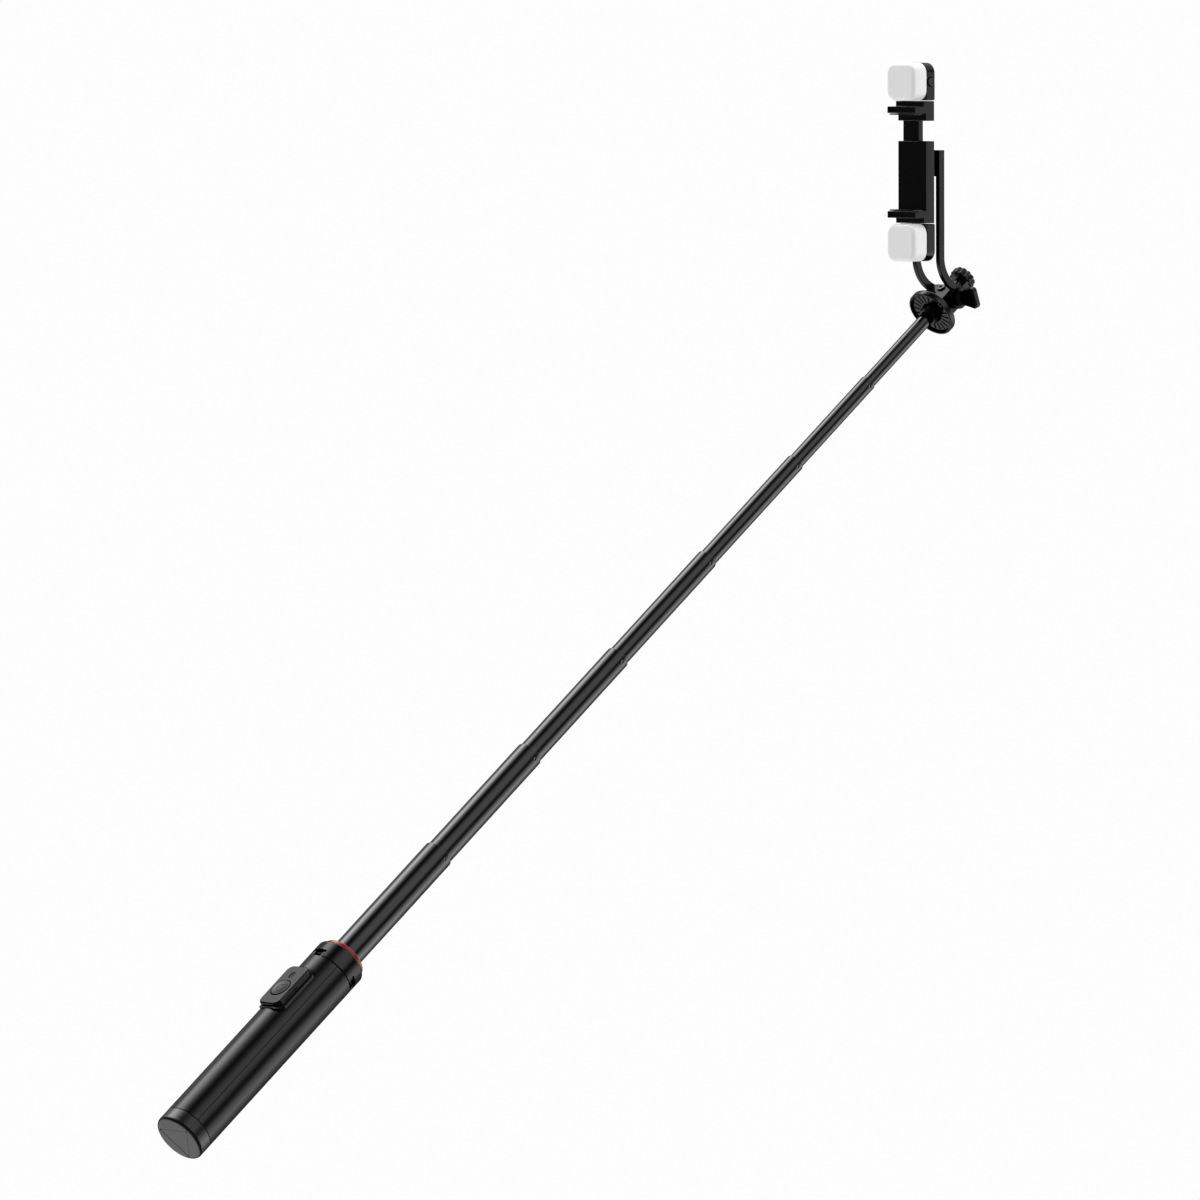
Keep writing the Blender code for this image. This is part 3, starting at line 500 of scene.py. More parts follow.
def build_handle():
    bottom, top = COLLAR_LOW.z, COLLAR_HIGH.z
    ring_low, ring_high = extent("accent_ring")
    seat = ring_high.x + GAP
    bore = GUIDE_RADIUS + GAP
    profile = [
        (seat, top, 0.3),
        (HANDLE_RADIUS, top, 2.0),
        (HANDLE_RADIUS, bottom, 0.4),
        (bore, bottom, 0.2),
        (bore, top - 1.1),
        (seat, top - 1.1),
    ]
    collar = turned(fillet(profile, closed=True), closed=True)
    tools = []
    for side in SIDES:
        radius, turn, hinge = hinge_place(side)
        spin = about("Z", turn)
        head = hinge + 2.5
        wide = WINDOW_HALF_WIDTH
        window = [(-wide, bottom - 1), (wide, bottom - 1), (wide, head, 0.5), (-wide, head, 0.5)]
        tools.append(prism(fillet(window, closed=True), radius - 2.5, 22, matrix=spin @ ALONG_X))
        reach = PIN_REACH + GAP
        place = spin @ shift(radius, 0, hinge) @ ALONG_Y
        tools.append(rod(PIN_BORE, -reach, reach, steps=32, matrix=place))
    show("collar", cut(collar, *tools))

    bore = extent("tube_1")[1].x + 0.35
    profile = [
        (bore, ring_high.z, 0.4),
        (ring_high.x, ring_high.z, 1.2),
        (ring_high.x, ring_low.z, 0.15),
        (bore, ring_low.z, 0.1),
    ]
    show("accent_ring", turned(fillet(profile, closed=True), closed=True))

    low, high = extent("guide_tube")
    inner = GUIDE_RADIUS - 0.6
    profile = [(inner, high.z), (GUIDE_RADIUS, high.z), (GUIDE_RADIUS, low.z), (inner, low.z)]
    profile = [(*point, 0.15) for point in profile]
    show("guide_tube", turned(fillet(profile, closed=True, steps=3), closed=True))

    height = extent("foot_front")[1].z
    corners = []
    for seam in (-30, 90, 210):
        corners += arc(1.2, seam - 60, seam + 60, 8, polar(2 * CORE_INRADIUS - 2.4, seam))
    core = prism(corners, 0, height, 0.3)
    neck = CORE_INRADIUS - 0.3
    spigot_top = extent("core_plug")[1].z
    spigot = [
        (0, spigot_top),
        (inner - 0.4, spigot_top, 0.8),
        (inner - 0.4, height + 0.3, 0.2),
        (neck, height + 0.3),
        (neck, height - 2),
        (0, height - 2),
    ]
    show("core_plug", join(core, turned(fillet(spigot))))
    for side in SIDES:
        build_leg(side)
        build_foot(side)
        build_pin(side)


# ---------------------------------------------------------------- remote


def build_remote():
    low, high = extent("remote_case_upper")
    back_low, back_high = extent("remote_case_lower")
    half = (high.z - low.z) / 2
    wide = high.x
    centre = (0, (high.z + low.z) / 2)
    corner = 5.5
    wall, roof_depth = 1.2, 1.4
    face, split = -low.y, -high.y
    seat, back = -back_low.y, -back_high.y

    def case_slab(inset, depth, edges=(0.0, 0.0)):
        size = (wide - inset, half - inset)
        return slab(size, (corner - inset,) * 4, *depth, edges, centre, ALONG_Y)

    dock = slab(
        (DOCK_HIGH.x, (DOCK_HIGH.z - DOCK_LOW.z) / 2),
        (DOCK_CORNER,) * 4,
        -DOCK_HIGH.y,
        -DOCK_LOW.y,
        (0.2, 0.6),
        centre,
        ALONG_Y,
    )
    combine(dock, [rod(DOCK_RIM, 90, 200, steps=FINE)], "INTERSECT")
    bay = slot_box(wide + 0.35, DOCK_CORNER - 1, (back - GAP, 22), half + 0.35, centre)
    show("remote_dock", cut(dock, bay))

    # Nail notch over the split on the right side.
    def notch():
        notch_low = (wide - 0.8, -split - 0.55, centre[1] - 14)
        notch_high = (wide + 1, -seat + 0.55, centre[1] + 2)
        return block(notch_low, notch_high, 0.2)

    lower = case_slab(0, (back, seat), (0.8, 0.15))
    show("remote_case_lower", cut(lower, case_slab(wall, (back + 1.0, seat + 1)), notch()))

    button = extent("shutter_button")
    button_place = shift(0, 0, (button[0].z + button[1].z) / 2) @ ALONG_Y
    lens = extent("status_lens")
    lens_place = shift(0, 0, (lens[0].z + lens[1].z) / 2) @ ALONG_Y
    radius = button[1].x - 1.0
    upper = case_slab(0, (split, face), (0.15, 1.55))
    outside, inside = face + 7, split - 2
    profile = [
        (0, outside),
        (radius + 0.8, outside),
        (radius + 0.8, face),
        (radius + 0.3, face - 0.5),
        (radius + 0.3, inside),
        (0, inside),
    ]
    hole = turned(profile, matrix=button_place)
    eye = slab((2.3, 3.2), (2.0,) * 4, inside, outside, matrix=lens_place)
    roof = face - roof_depth
    show("remote_case_upper", cut(upper, case_slab(wall, (split - 1, roof)), hole, eye, notch()))

    # The button's face is shallowly dished inside a raised ring.
    crown = -button[0].y
    stem = -button[1].y
    profile = [
        (0, crown - 0.45),
        (3.0, crown - 0.35),
        (3.15, crown - 0.5),
        (3.5, crown - 0.5),
        (3.65, crown - 0.3),
        (radius - 1.0, crown),
        (radius, crown, 0.5),
        (radius, roof - GAP),
        (radius + 1, roof - GAP),
        (radius + 1, roof - 1.1),
        (1.6, roof - 1.1),
        (1.6, stem, 0.3),
        (0, stem),
    ]
    show("shutter_button", turned(fillet(profile), matrix=button_place))
    status = slab((2.0, 2.9), (1.8,) * 4, -lens[1].y, -lens[0].y - 0.5, (0, 0.3), matrix=lens_place)
    show("status_lens", status, slot="gloss_black_plastic")

    low, high = extent("remote_board")
    size = (high.x, (high.z - low.z) / 2)
    board = slab(size, (2.0,) * 4, -high.y, -low.y, (0.1, 0.1), centre, ALONG_Y)
    chip = block((-6, low.y - 0.25, centre[1] - 16), (2, low.y + 0.3, centre[1] - 13), 0.1)
    show("remote_board", join(board, chip))
    low, high = extent("coin_cell")
    radius, cap, base = high.x, -low.y, -high.y
    profile = [
        (0, cap),
        (radius - 1.2, cap, 0.2),
        (radius - 0.8, cap - 0.3),
        (radius, cap - 0.3, 0.2),
        (radius, base, 0.3),
        (0, base),
    ]
    cell_place = shift(0, 0, (low.z + high.z) / 2) @ ALONG_Y
    show("coin_cell", turned(fillet(profile), matrix=cell_place))


# ---------------------------------------------------------------- telescope


TUBES = 7
TUBE_WALL = 0.45


def build_telescope():
    for number in range(1, TUBES + 1):
        node = f"tube_{number}"
        low, high = extent(node)
        radius, top, foot = high.x, high.z, low.z
        inner = radius - TUBE_WALL
        if number < TUBES:
            rim = extent(f"tube_{number + 1}")[1].x + 0.25
            profile = [
                (rim, top, 0.2),
                (radius, top, 0.4),
                (radius, foot),
                (inner, foot),
                (inner, top - 2.0),
                (rim, top - 1.6),
            ]
        else:
            profile = [(inner, top), (radius, top), (radius, foot), (inner, foot)]
        tube = turned(fillet(profile, closed=True, steps=4), closed=True)
        if number < TUBES:
            # A pressed detent below the rim.
            ball = turned(fillet([(0, 3.0)] + arc(3.0, 80, -80, 16) + [(0, -3.0)]), steps=32)
            ball.data.transform(shift(radius + 2.62, 0, top - 4.6))
            cut(tube, ball)
        show(node, tube)
        low, high = extent(f"bush_{number}")
        ring = [(inner, high.z), (high.x, high.z), (high.x, low.z), (inner, low.z)]
        bush = turned(fillet([(*point, 0.12) for point in ring], closed=True, steps=3), closed=True)
        slit = block((0, -0.5, low.z - 1), (high.x + 1, 0.5, high.z + 1))
        show(f"bush_{number}", cut(bush, slit))


# ---------------------------------------------------------------- head


def thread(radius, low, high, pitch=0.7, depth=0.18):
    """Profile of a threaded length, from high to low."""
    count = max(int((high - low) / pitch), 1)
    step = (high - low) / count
    points = []
    for i in range(count):
        points.append((radius, high - i * step))
        points.append((radius - depth, high - (i + 0.5) * step))
    return points + [(radius, low)]


def build_disc():
    low, high = extent("top_disc")
    outer = high.x
    bottom = low.z + 4.2
    top = bottom + 6.4
    spigot = high.z
    profile = [
        (2.3, spigot),
        (5.0, spigot, 0.4),
        (5.0, top),
        (16.5, top, 1.5),
        (outer - 0.6, top - 0.9, 0.8),
        (outer, top - 1.9, 0.6),
        (outer, bottom, 0.6),
        (outer - 1.3, bottom, 0.3),
        (outer - 1.4, bottom + 3.2),
        (outer - 3.0, bottom + 3.2),
        (outer - 3.1, bottom + 1.8, 0.15),
        (9.0, bottom + 1.8),
        (6.9, low.z, 0.4),
        (5.65, low.z),
        (5.65, bottom + 3.2),
        (2.3, bottom + 3.2),
    ]
    disc = turned(fillet(profile, closed=True), closed=True)
    floor = bottom + 1.8
    grooves = []
    for i in range(20):
        groove = block((9.9, -0.75, floor - 1), (16.2, 0.75, floor + 1.5), matrix=about("Z", 18 * i))
        grooves.append(groove)
    cut(disc, *grooves)
    well = rod(3.9, floor - 2, floor + 2.6, steps=48, matrix=about("Z", -30) @ shift(13.2, 0, 0))
    show("top_disc", cut(disc, well))
    head = rod(1.7, floor + 1.0, floor + 2.75, 0.3, steps=32)
    socket = prism(arc(0.9, 0, 300, 5), floor, floor + 1.7)
    screw = cut(head, socket)
    screw.data.transform(about("Z", -30) @ shift(13.2, 0, 0))
    show("top_disc", screw, extra="disc_screw", slot="bright_steel")


def build_block():
    low, high = extent("pan_block")
    half, depth = high.x, high.y
    rise = high.z - PIVOT.z
    base = low.z - PIVOT.z
    outline = [(-depth, base), (depth, base), *arc(rise, 24, 156, 32)]
    at = shift(0, 0, PIVOT.z)
    body = prism(outline, -half, half, 0.6, matrix=at @ ALONG_X)
    nut_low, nut_high = extent("block_nut")
    tools = [
        rod(5.3, low.z - 1, low.z + 5.6, steps=48),
        rod(2.4, low.z - 1, high.z + 2, steps=48),
        rod(2.1, 3.5, half + 1, steps=48, matrix=at @ ALONG_X),
        rod(2.1, -half - 1, -3.5, steps=48, matrix=at @ ALONG_X),
        rod(3.9, -nut_high.y - 0.3, depth + 1, steps=6, matrix=at @ ALONG_Y),
    ]
    show("pan_block", cut(body, *tools))
    nut = rod(3.5, -nut_high.y, -nut_low.y, steps=6)
    round_edges(nut, 0.3, 2)
    cut(nut, rod(1.5, -nut_low.y - 1.2, -nut_low.y + 1, steps=32))
    nut.data.transform(at @ ALONG_Y)
    show("block_nut", nut, slot="black_tube")


def build_pan_screw():
    low, high = extent("pan_bolt")
    flange = extent("pan_block")[1].z + 0.3
    profile = [(0, high.z), (3.8, high.z, 0.4), (3.8, flange, 0.4), (2.0, flange)]
    profile += thread(2.0, low.z + 0.4, flange - 2) + [(1.6, low.z), (0, low.z)]
    show("pan_bolt", turned(fillet(profile), steps=64))
    low, high = extent("pan_knob")
    radius, depth, lobes = high.x, 1.4, 12
    count = 192
    outline = []
    for i in range(count):
        wave = math.cos(2 * math.pi * lobes * i / count)
        outline.append(polar(radius - depth * (0.5 - 0.5 * wave) ** 1.8, 360 * i / count))
    rings = []
    levels = ((0, 1.0), (0.25, 0.45), (0.9, 0.0), (5.6, 0.0), (6.6, 0.35), (7.3, 1.0), (7.6, 1.8))
    for height, inset in levels:
        scale = (radius - inset) / radius
        rings.append([(x * scale, y * scale, low.z + height) for x, y in outline])
    knob = loft(rings)
    floor = high.z - 1.6
    dish = [
        (0, high.z + 1),
        (6.4, high.z + 1),
        (6.1, high.z - 0.1),
        (5.3, floor),
        (3.1, floor),
        (2.6, floor + 1.1),
        (0, floor + 1.3),
    ]
    show("pan_knob", cut(knob, turned(dish)))


def build_tilt_screws():
    at = shift(0, 0, PIVOT.z) @ ALONG_X
    low, high = extent("tilt_bolt")
    profile = [(0, high.x), (1.7, high.x)] + thread(1.7, low.x + 0.4, 10.0) + [(1.3, low.x), (0, low.x)]
    show("tilt_bolt", turned(profile, steps=64, matrix=at))

    low, high = extent("tilt_knob")
    start, end = low.x, high.x
    teeth = 40
    radius, root = 7.2, 6.75
    rim = []
    for i in range(teeth):
        for share, reach in ((0, radius), (0.5, radius), (0.75, root)):
            rim.append(polar(reach, 360 * (i + share) / teeth))
    knob = prism(rim, start, start + 1.6)
    cone = [(0, start + 4.2), (4.6, start + 4.2, 0.6), (6.4, start + 1.5), (0, start + 1.5)]
    join(knob, turned(fillet(cone), steps=64))
    knob.data.transform(ALONG_X)
    wing = [
        (start + 2.4, -5.4),
        (end - 3.0, -8.6, 2.2),
        (end - 0.4, -7.4, 2.0),
        (end, -5.6, 1.0),
        (end, 5.6, 1.0),
        (end - 0.4, 7.4, 2.0),
        (end - 3.0, 8.6, 2.2),
        (start + 2.4, 5.4),
    ]
    blade = prism(fillet(wing, closed=True), -2.4, 2.4, 0.9, 4, matrix=ALONG_Y)
    # Each face has one recess inside a raised rim, with two ribs across it.
    recess = [
        (start + 4.8, -3.6, 0.8),
        (end - 4.2, -6.0, 1.4),
        (end - 2.3, -4.6, 1.2),
        (end - 2.3, 4.6, 1.2),
        (end - 4.2, 6.0, 1.4),
        (start + 4.8, 3.6, 0.8),
    ]
    for side in (-1, 1):
        pocket = prism(fillet(recess, closed=True), *sorted((side * 0.9, side * 4.0)), matrix=ALONG_Y)
        ribs = []
        depth = sorted((side * 0.5, side * 1.7))
        for z in (-1.7, 1.7):
            ribs.append(block((start, -0.45 + z, depth[0]), (end, 0.45 + z, depth[1]), matrix=ALONG_Y))
        cut(pocket, *ribs)
        cut(blade, pocket)
    blade.data.transform(about("X", 72.5))
    join(knob, blade)
    knob.data.transform(shift(0, 0, PIVOT.z))
    show("tilt_knob", knob)

    low, high = extent("pivot_screw")
    outer = -low.x
    profile = [(0, high.x), (1.3, high.x)]
    profile += thread(1.7, -outer + 5.0, -4.4)
    profile += [(1.7, -outer + 1.6), (3.6, -outer + 1.6, 0.2), (3.6, -outer, 0.5), (0, -outer)]
    screw = turned(fillet(profile), steps=64)
    cut(screw, prism(arc(1.7, 0, 300, 5), -outer - 1, -outer + 1.0))
    screw.data.transform(at)
    show("pivot_screw", screw)


ARC_CENTRE = (6.5, 31.0)
ARC_INNER = 22.9
ARC_OUTER = 29.0
KNUCKLE = 9.0
TEETH = 28


def circle_meet(other):
    """Angle about the tilt axis where the knuckle meets the arm's arc of this radius."""
    distance = math.hypot(*ARC_CENTRE)
    cosine = (distance**2 + KNUCKLE**2 - other**2) / (2 * distance * KNUCKLE)
    return math.degrees(math.atan2(ARC_CENTRE[1], ARC_CENTRE[0]) + math.acos(cosine))


def arm_outline(top):
    """Side view of an arm: straight, a quarter turn, then a round knuckle about the tilt axis."""

    def seen(point):
        return math.degrees(math.atan2(point[1] - ARC_CENTRE[1], point[0] - ARC_CENTRE[0])) % 360

    inner_meet, outer_meet = circle_meet(ARC_INNER), circle_meet(ARC_OUTER)
    points = [(ARC_CENTRE[0] - ARC_OUTER, top)]
    points += arc(ARC_OUTER, 180, seen(polar(KNUCKLE, outer_meet)), 28, ARC_CENTRE)
    points += arc(KNUCKLE, outer_meet, 360 + inner_meet, 48)[1:]
    points += arc(ARC_INNER, seen(polar(KNUCKLE, inner_meet)), 180, 28, ARC_CENTRE)[1:]
    points.append((ARC_CENTRE[0] - ARC_INNER, top))
    return points


def build_fork():
    low, high = extent("fork", HEAD)
    inner, outer = high.x - 3.8, high.x
    right = prism(arm_outline(high.z), inner, outer, 0.55, matrix=ALONG_X)
    left = prism(arm_outline(high.z), -outer, -inner, 0.55, matrix=ALONG_X)
    bridge = block((-outer + 1.2, low.y, high.z - 20), (outer - 1.2, low.y + 4.5, high.z), 0.5)
    join(right, left, bridge)
    reach = outer + 2
    centre = extent("swivel_pin", HEAD)
    middle = (centre[0].z + centre[1].z) / 2
    pivot = rod(2.1, -reach, reach, steps=48, matrix=ALONG_X)
    swivel = rod(2.6, 10, 30, steps=48, matrix=shift(0, 0, middle) @ ALONG_Y)
    # Radial teeth on the outside of the right knuckle, under the wing knob.
    teeth = []
    for i in range(TEETH):
        turn = about("X", 360 * i / TEETH)
        teeth.append(block((outer - 0.55, -0.33, 3.0), (outer + 1, 0.33, KNUCKLE + 0.2), matrix=turn))
    cut(right, pivot, swivel, *teeth)
    right.data.transform(HEAD)
    show("fork", right)


# ---------------------------------------------------------------- clamp and lamps

SLEEVE = extent("clamp_sleeve", HEAD)
SLIDER = extent("clamp_slider", HEAD)
CENTRE = (SLEEVE[0].z + SLIDER[1].z) / 2
SCREEN = extent("lower_jaw_pad", HEAD)[0].y + 1.2
WIDE = SLEEVE[1].x
FRONT = SCREEN + 10.0
BACK = SLEEVE[1].y


def jaw_span(low, high, sign):
    return sorted((CENTRE + sign * low, CENTRE + sign * high))


def jaw_blocks(sign):
    lip = jaw_span(37.4, 42.5, sign)
    plate = jaw_span(41.5, 46.6, sign)
    return (
        block((-WIDE, SCREEN - 1.7, lip[0]), (WIDE, FRONT + 0.5, lip[1])),
        block((-WIDE, SCREEN + 7.5, plate[0]), (WIDE, FRONT + 2, plate[1])),
    )


def jaw_cuts(sign):
    """The slot in a jaw's front and two shallow sight lines beside it."""
    slot = jaw_span(39.2, 40.6, sign)
    line = jaw_span(37.0, 43.0, sign)
    tools = [block((-11, SCREEN - 3, slot[0]), (-1, SCREEN - 0.5, slot[1]))]
    tools.append(block((1.6, SCREEN - 3, line[0]), (2.2, SCREEN - 1.3, line[1])))
    tools.append(block((-12.9, SCREEN - 3, line[0]), (-12.4, SCREEN - 1.3, line[1])))
    return tools


def build_pad(node):
    """Rubber pad with grooves along the phone's edge."""
    low, high = extent(node, HEAD)
    pad = block(low, high, 0.25, 2)
    upper = node.startswith("upper")
    face = low.z if upper else high.z
    grooves = []
    for i in range(5):
        y = low.y + 1.7 + 1.55 * i
        grooves.append(block((low.x - 1, y - 0.3, face - 0.25), (high.x + 1, y + 0.3, face + 0.25)))
    cut(pad, *grooves)
    pad.data.transform(HEAD)
    show(node, pad)


def build_clamp():
    low, high = SLEEVE
    sleeve = block((-WIDE, FRONT, low.z), (WIDE, BACK, high.z))
    join(sleeve, *jaw_blocks(-1))
    round_edges(sleeve, 0.55)
    hollow = block((-12.1, FRONT + 1.8, CENTRE - 43.5), (12.1, BACK - 1.8, high.z + 1))
    bore = rod(2.6, -BACK - 1, 2 - BACK, steps=48, matrix=shift(0, 0, CENTRE) @ ALONG_Y)
    cut(sleeve, hollow, bore, *jaw_cuts(-1))
    sleeve.data.transform(HEAD)
    show("clamp_sleeve", sleeve)

    low, high = SLIDER
    shoulder = CENTRE + 31.5
    slider = block((-WIDE, FRONT, shoulder), (WIDE, BACK, high.z))
    join(slider, *jaw_blocks(1))
    round_edges(slider, 0.55)
    tongue = block((-11.7, FRONT + 2.2, low.z), (5.0, BACK - 2.2, shoulder + 3), 0.4)
    join(slider, tongue)
    cut(slider, *jaw_cuts(1))
    slider.data.transform(HEAD)
    show("clamp_slider", slider)
    build_pad("lower_jaw_pad")
    build_pad("upper_jaw_pad")

    low, high = extent("clamp_spring", HEAD)
    radius = 2.0
    wire = 0.35
    turns = 9
    count = turns * 24
    length = high.z - low.z - 2 * wire
    curve = bpy.data.curves.new("coil", "CURVE")
    curve.dimensions = "3D"
    curve.bevel_depth = wire
    curve.bevel_resolution = 3
    curve.use_fill_caps = True
    spline = curve.splines.new("POLY")
    spline.points.add(count)
    for i, point in enumerate(spline.points):
        x, y = polar(radius, 360 * turns * i / count)
        point.co = (x, y, length * i / count, 1)
    guide = bpy.data.objects.new("coil", curve)
    bpy.context.scene.collection.objects.link(guide)
    graph = bpy.context.evaluated_depsgraph_get()
    mesh = bpy.data.meshes.new_from_object(guide.evaluated_get(graph))
    bpy.data.objects.remove(guide, do_unlink=True)
    coil = bpy.data.objects.new("coil", mesh)
    bpy.context.scene.collection.objects.link(coil)
    middle = (low + high) / 2
    mesh.transform(HEAD @ shift(middle.x, middle.y, low.z + wire))
    show("clamp_spring", coil)

    low, high = extent("swivel_disc", HEAD)
    place = HEAD @ shift(0, 0, CENTRE) @ ALONG_Y
    profile = [(2.6, -low.y, 0.2), (high.x, -low.y, 0.5), (high.x, -high.y, 0.5), (2.6, -high.y, 0.2)]
    show("swivel_disc", turned(fillet(profile, closed=True), closed=True, matrix=place))
    low, high = extent("swivel_pin", HEAD)
    head = -high.y + 2.0
    tip, end = -low.y, -high.y
    profile = [(0, tip), (2.2, tip, 0.3), (2.2, head), (5.0, head, 0.2), (5.0, end, 0.8), (0, end)]
    pin = turned(fillet(profile))
    slots = []
    for turn in (0, 90):
        slots.append(block((-2.4, -0.4, end - 1), (2.4, 0.4, end + 0.9), matrix=about("Z", turn)))
    cut(pin, *slots)
    pin.data.transform(place)
    show("swivel_pin", pin)


def build_lamp(side, sign):
    """Opal cap over a black housing, whose corners beside the jaw are nearly square."""
    corner = 8.0
    square = 1.2
    outer = (corner,) * 4
    if sign > 0:
        housing_corners = (corner, corner, square, square)
    else:
        housing_corners = (square, square, corner, corner)

    def lamp_slab(node, inset, corners, edges, depth=None):
        low, high = extent(node, HEAD)
        size = (WIDE - inset, (extent(f"lamp_{side}_housing", HEAD)[1].z - middle[1]) - inset)
        depth = depth or (-high.y, -low.y)
        return slab(size, [max(c - inset, 0.3) for c in corners], *depth, edges, middle, ALONG_Y)

    low, high = extent(f"lamp_{side}_housing", HEAD)
    middle = (0, (low.z + high.z) / 2)
    node = f"lamp_{side}_diffuser"
    cap_low, cap_high = extent(node, HEAD)
    cap = lamp_slab(node, 0, outer, (0.3, 3.0))
    cut(cap, lamp_slab(node, 1.8, outer, (0, 1.0), (-cap_high.y - 1, -cap_low.y - 2.5)))
    cap.data.transform(HEAD)
    show(node, cap)

    node = f"lamp_{side}_housing"
    housing = lamp_slab(node, 0, housing_corners, (1.0, 0.3))
    button_low, button_high = extent(f"lamp_{side}_button", HEAD)
    depth = (button_low.y + button_high.y) / 2
    spot = shift(0, depth, middle[1]) @ about("Z", 0 if sign > 0 else 180) @ ALONG_X
    radius = 3.2
    hollow = lamp_slab(node, 1.6, housing_corners, (0.5, 0), (-high.y + 1.5, -low.y + 1))
    hole = [
        (0, WIDE + 2),
        (radius + 0.8, WIDE + 2),
        (radius + 0.8, WIDE),
        (radius + 0.3, WIDE - 0.5),
        (radius + 0.3, WIDE - 3),
        (0, WIDE - 3),
    ]
    cut(housing, hollow, turned(hole, matrix=spot))
    housing.data.transform(HEAD)
    show(node, housing)

    node = f"lamp_{side}_button"
    crown = WIDE + 0.8
    profile = [
        (0, crown - 0.1),
        (1.3, crown - 0.1),
        (1.5, crown - 0.3),
        (1.8, crown - 0.3),
        (2.0, crown - 0.05),
        (radius, crown, 0.4),
        (radius, WIDE - 1.3, 0.2),
        (0, WIDE - 1.3),
    ]
    show(node, turned(fillet(profile), matrix=HEAD @ spot))

    node = f"lamp_{side}_board"
    low, high = extent(node, HEAD)
    board = lamp_slab(node, 2.6, outer, (0.1, 0.1))
    chips = []
    half_chip = Vector((1.1, 0.3, 1.1))
    for x in (-8.4, -2.8, 2.8, 8.4):
        for z in (-7, 0, 7):
            at = Vector((x, low.y - 0.1, middle[1] + z))
            chips.append(block(at - half_chip, at + half_chip, 0.1, 1))
    join(board, *chips)
    board.data.transform(HEAD)
    show(node, board)
    node = f"lamp_{side}_cell"
    low, high = extent(node, HEAD)
    show(node, block(low, high, 1.2, 4, matrix=HEAD))


build_handle()
build_remote()
build_telescope()
build_disc()
build_block()
build_pan_screw()
build_tilt_screws()
build_fork()
build_clamp()
build_lamp("upper", 1)
build_lamp("lower", -1)

# ---------------------------------------------------------------- camera, studio and floor

scene = bpy.context.scene
scene.view_settings.view_transform = "Standard"

CAMERA_PLACE = Vector((6.12359, -3.90725, -3.75304))
CAMERA_RIGHT = Vector((0.68569, 0.43917, 0.58048))
CAMERA_DOWN = Vector((0.04128, 0.77273, -0.63339))
camera_data = bpy.data.cameras.new("camera")
camera_data.lens = 339.1
camera_data.sensor_width = 36.0
camera_data.clip_start = 0.1
camera_data.clip_end = 100.0
camera = bpy.data.objects.new("camera", camera_data)
scene.collection.objects.link(camera)
right = CAMERA_RIGHT.normalized()
up = -CAMERA_DOWN.normalized()
back = right.cross(up).normalized()
turn = Matrix((right, back.cross(right), back)).transposed().to_4x4()
camera.matrix_world = Matrix.Translation(CAMERA_PLACE) @ turn
scene.camera = camera

# Soft studio: strip lights and dark flags stand round the stick's axis. Each entry is an angle from the
# camera's side, towards +Y, and how bright the studio is there.
STUDIO = [
    (-180, 0.05), (-154, 0.05), (-143, 0.6), (-130, 0.5), (-120, 1.2), (-110, 4.0), (-102, 7.5), (-92, 6.9),
    (-82, 5.4), (-73, 3.0), (-64, 1.1), (-56, 0.3), (-48, 0.03), (-40, 0.05), (-32, 0.25), (-25, 0.65),
    (-18, 1.1), (-10, 1.4), (14, 1.45), (20, 1.35), (26, 1.0), (33, 0.45), (40, 0.12), (48, 0.1),
    (56, 0.5), (64, 1.3), (73, 2.2), (82, 2.7), (98, 3.3), (112, 1.4), (130, 0.35), (150, 0.05),
]
PEAK = 8.0
world = bpy.data.worlds.new("studio")
world.use_nodes = True
scene.world = world
nodes, links = world.node_tree.nodes, world.node_tree.links
nodes.clear()
towards = Vector((CAMERA_PLACE.x, CAMERA_PLACE.y, 0)).normalized()
aside = Vector((-towards.y, towards.x, 0))
direction = nodes.new("ShaderNodeTexCoord").outputs["Generated"]


def dot(vector):
    node = nodes.new("ShaderNodeVectorMath")
    node.operation = "DOT_PRODUCT"
    links.new(direction, node.inputs[0])
    node.inputs[1].default_value = vector
    return node.outputs["Value"]


def math_node(operation, *values):
    node = nodes.new("ShaderNodeMath")
    node.operation = operation
    for socket, value in zip(node.inputs, values):
        if isinstance(value, (int, float)):
            socket.default_value = value
        else:
            links.new(value, socket)
    return node.outputs["Value"]


angle = math_node("ARCTAN2", dot(aside), dot(towards))
share = math_node("MULTIPLY_ADD", angle, 1 / (2 * math.pi), 0.5)
ramp = nodes.new("ShaderNodeValToRGB")
ramp.color_ramp.interpolation = "LINEAR"
stops = ramp.color_ramp.elements
while len(stops) > 1:
    stops.remove(stops[-1])
for i, (degrees, level) in enumerate(STUDIO):
    stop = stops[0] if i == 0 else stops.new((degrees + 180) / 360)
    stop.position = (degrees + 180) / 360
    stop.color = (level / PEAK, level / PEAK, level / PEAK, 1)
links.new(share, ramp.inputs["Fac"])
walls = math_node("MULTIPLY", ramp.outputs["Color"], PEAK)


def step(value, low, high, start, end):
    """A smooth change from start to end while the value goes from low to high."""
    node = nodes.new("ShaderNodeMapRange")
    node.interpolation_type = "SMOOTHSTEP"
    node.inputs["From Min"].default_value = low
    node.inputs["From Max"].default_value = high
    node.inputs["To Min"].default_value = start
    node.inputs["To Max"].default_value = end
    links.new(value, node.inputs["Value"])
    return node.outputs["Result"]


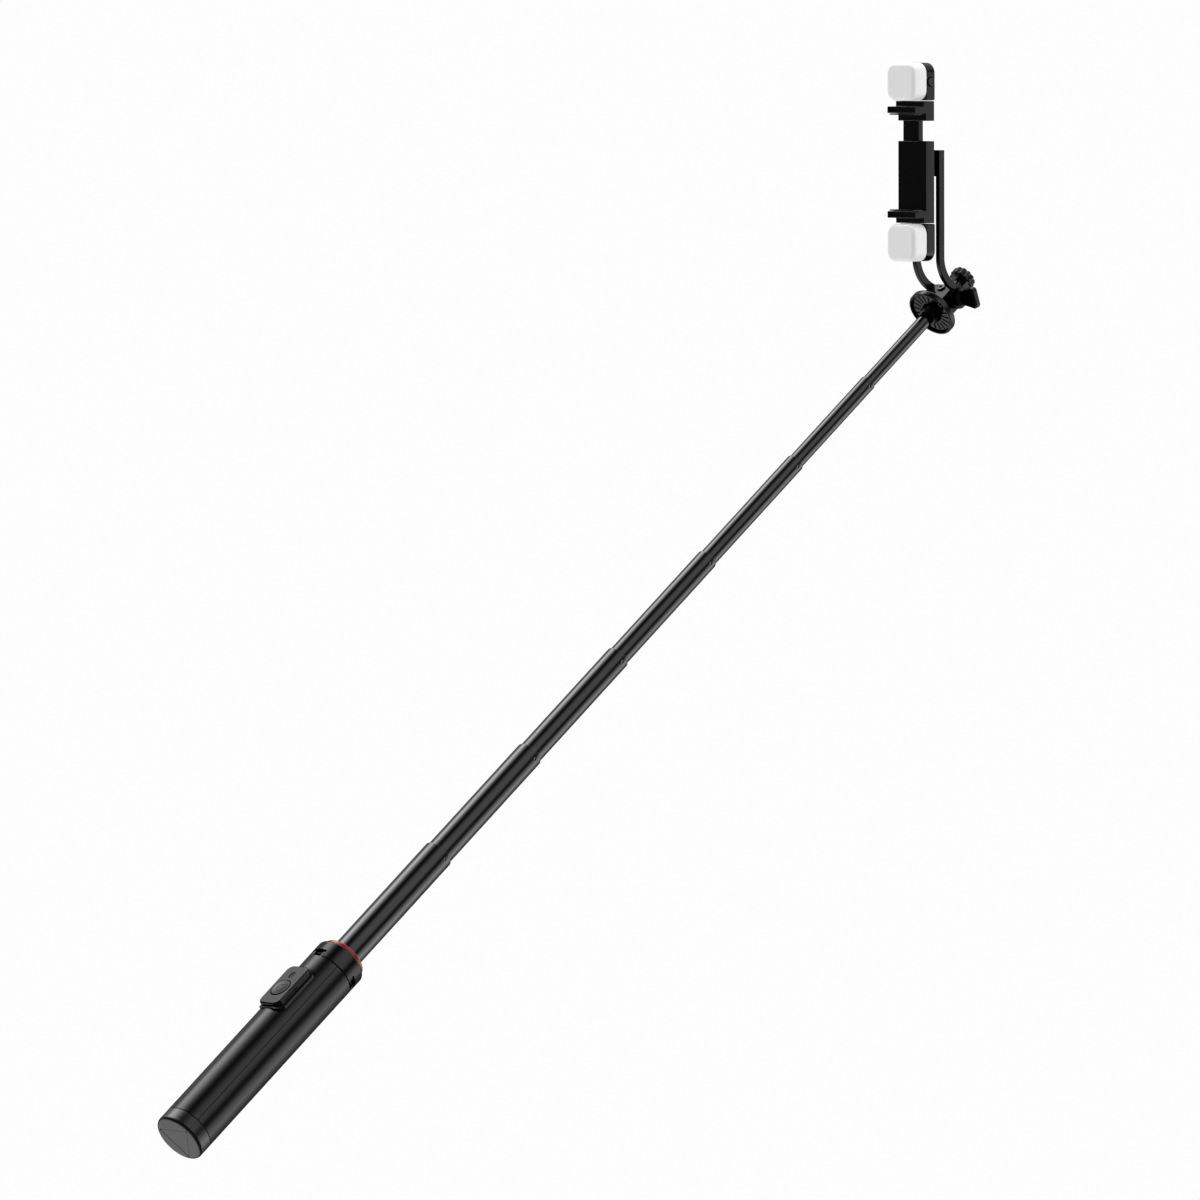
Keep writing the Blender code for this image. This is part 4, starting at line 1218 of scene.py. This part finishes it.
# From the top: a ceiling, the walls, a dark band at the horizon, and the ground, which is pale on the
# far side.
height = dot((0, 0, 1))
ceiling = step(height, 0.75, 0.95, 0, 1.2)
wall_share = math_node("MULTIPLY", step(height, 0.10, 0.30, 0, 1), step(height, 0.75, 0.95, 1, 0))
ground_share = step(height, -0.32, -0.18, 1, 0)
far_side = step(math_node("ABSOLUTE", angle), math.radians(125), math.radians(150), 0.08, 1.6)
level = math_node("ADD", ceiling, math_node("MULTIPLY", walls, wall_share))
level = math_node("ADD", level, math_node("MULTIPLY", far_side, ground_share))
level = math_node("ADD", level, 0.03)
studio = nodes.new("ShaderNodeBackground")
links.new(level, studio.inputs["Strength"])
backdrop = nodes.new("ShaderNodeBackground")
backdrop.inputs["Color"].default_value = (0.985, 0.985, 0.985, 1)
seen = nodes.new("ShaderNodeLightPath").outputs["Is Camera Ray"]
choice = nodes.new("ShaderNodeMixShader")
links.new(seen, choice.inputs[0])
links.new(studio.outputs[0], choice.inputs[1])
links.new(backdrop.outputs[0], choice.inputs[2])
output = nodes.new("ShaderNodeOutputWorld")
links.new(choice.outputs[0], output.inputs["Surface"])

# The floor lies under the stick and can't be seen from below.
floor_mesh = bpy.data.meshes.new("floor")
reach, level_z = 12.0, -0.5 * MM
floor_mesh.from_pydata(
    [(x * reach, y * reach, level_z) for x, y in ((-1, -1), (1, -1), (1, 1), (-1, 1))],
    [],
    [(0, 1, 2, 3)],
)
floor = bpy.data.objects.new("floor", floor_mesh)
scene.collection.objects.link(floor)
floor_material = bpy.data.materials.new("floor")
floor_material.use_nodes = True
nodes, links = floor_material.node_tree.nodes, floor_material.node_tree.links
surface = nodes["Principled BSDF"]
surface.inputs["Base Color"].default_value = (0.62, 0.62, 0.62, 1)
surface.inputs["Roughness"].default_value = 0.9
clear = nodes.new("ShaderNodeBsdfTransparent")
mix = nodes.new("ShaderNodeMixShader")
links.new(nodes.new("ShaderNodeNewGeometry").outputs["Backfacing"], mix.inputs[0])
links.new(surface.outputs[0], mix.inputs[1])
links.new(clear.outputs[0], mix.inputs[2])
links.new(mix.outputs[0], nodes["Material Output"].inputs["Surface"])
floor_mesh.materials.append(floor_material)
floor.visible_diffuse = False
floor.visible_glossy = False
floor.visible_transmission = False
floor.visible_shadow = False

# A broad light over the front left gives the floor its shadow and isn't seen in reflections.
key_data = bpy.data.lights.new("key", "AREA")
key_data.shape = "DISK"
key_data.size = 1.2
key_data.energy = 45
key = bpy.data.objects.new("key", key_data)
scene.collection.objects.link(key)
key.location = (-1.4, -1.6, 3.0)
key.rotation_euler = (Vector((0, 0, 0.5)) - key.location).to_track_quat("-Z", "Y").to_euler()
key.visible_glossy = False
key.visible_camera = False
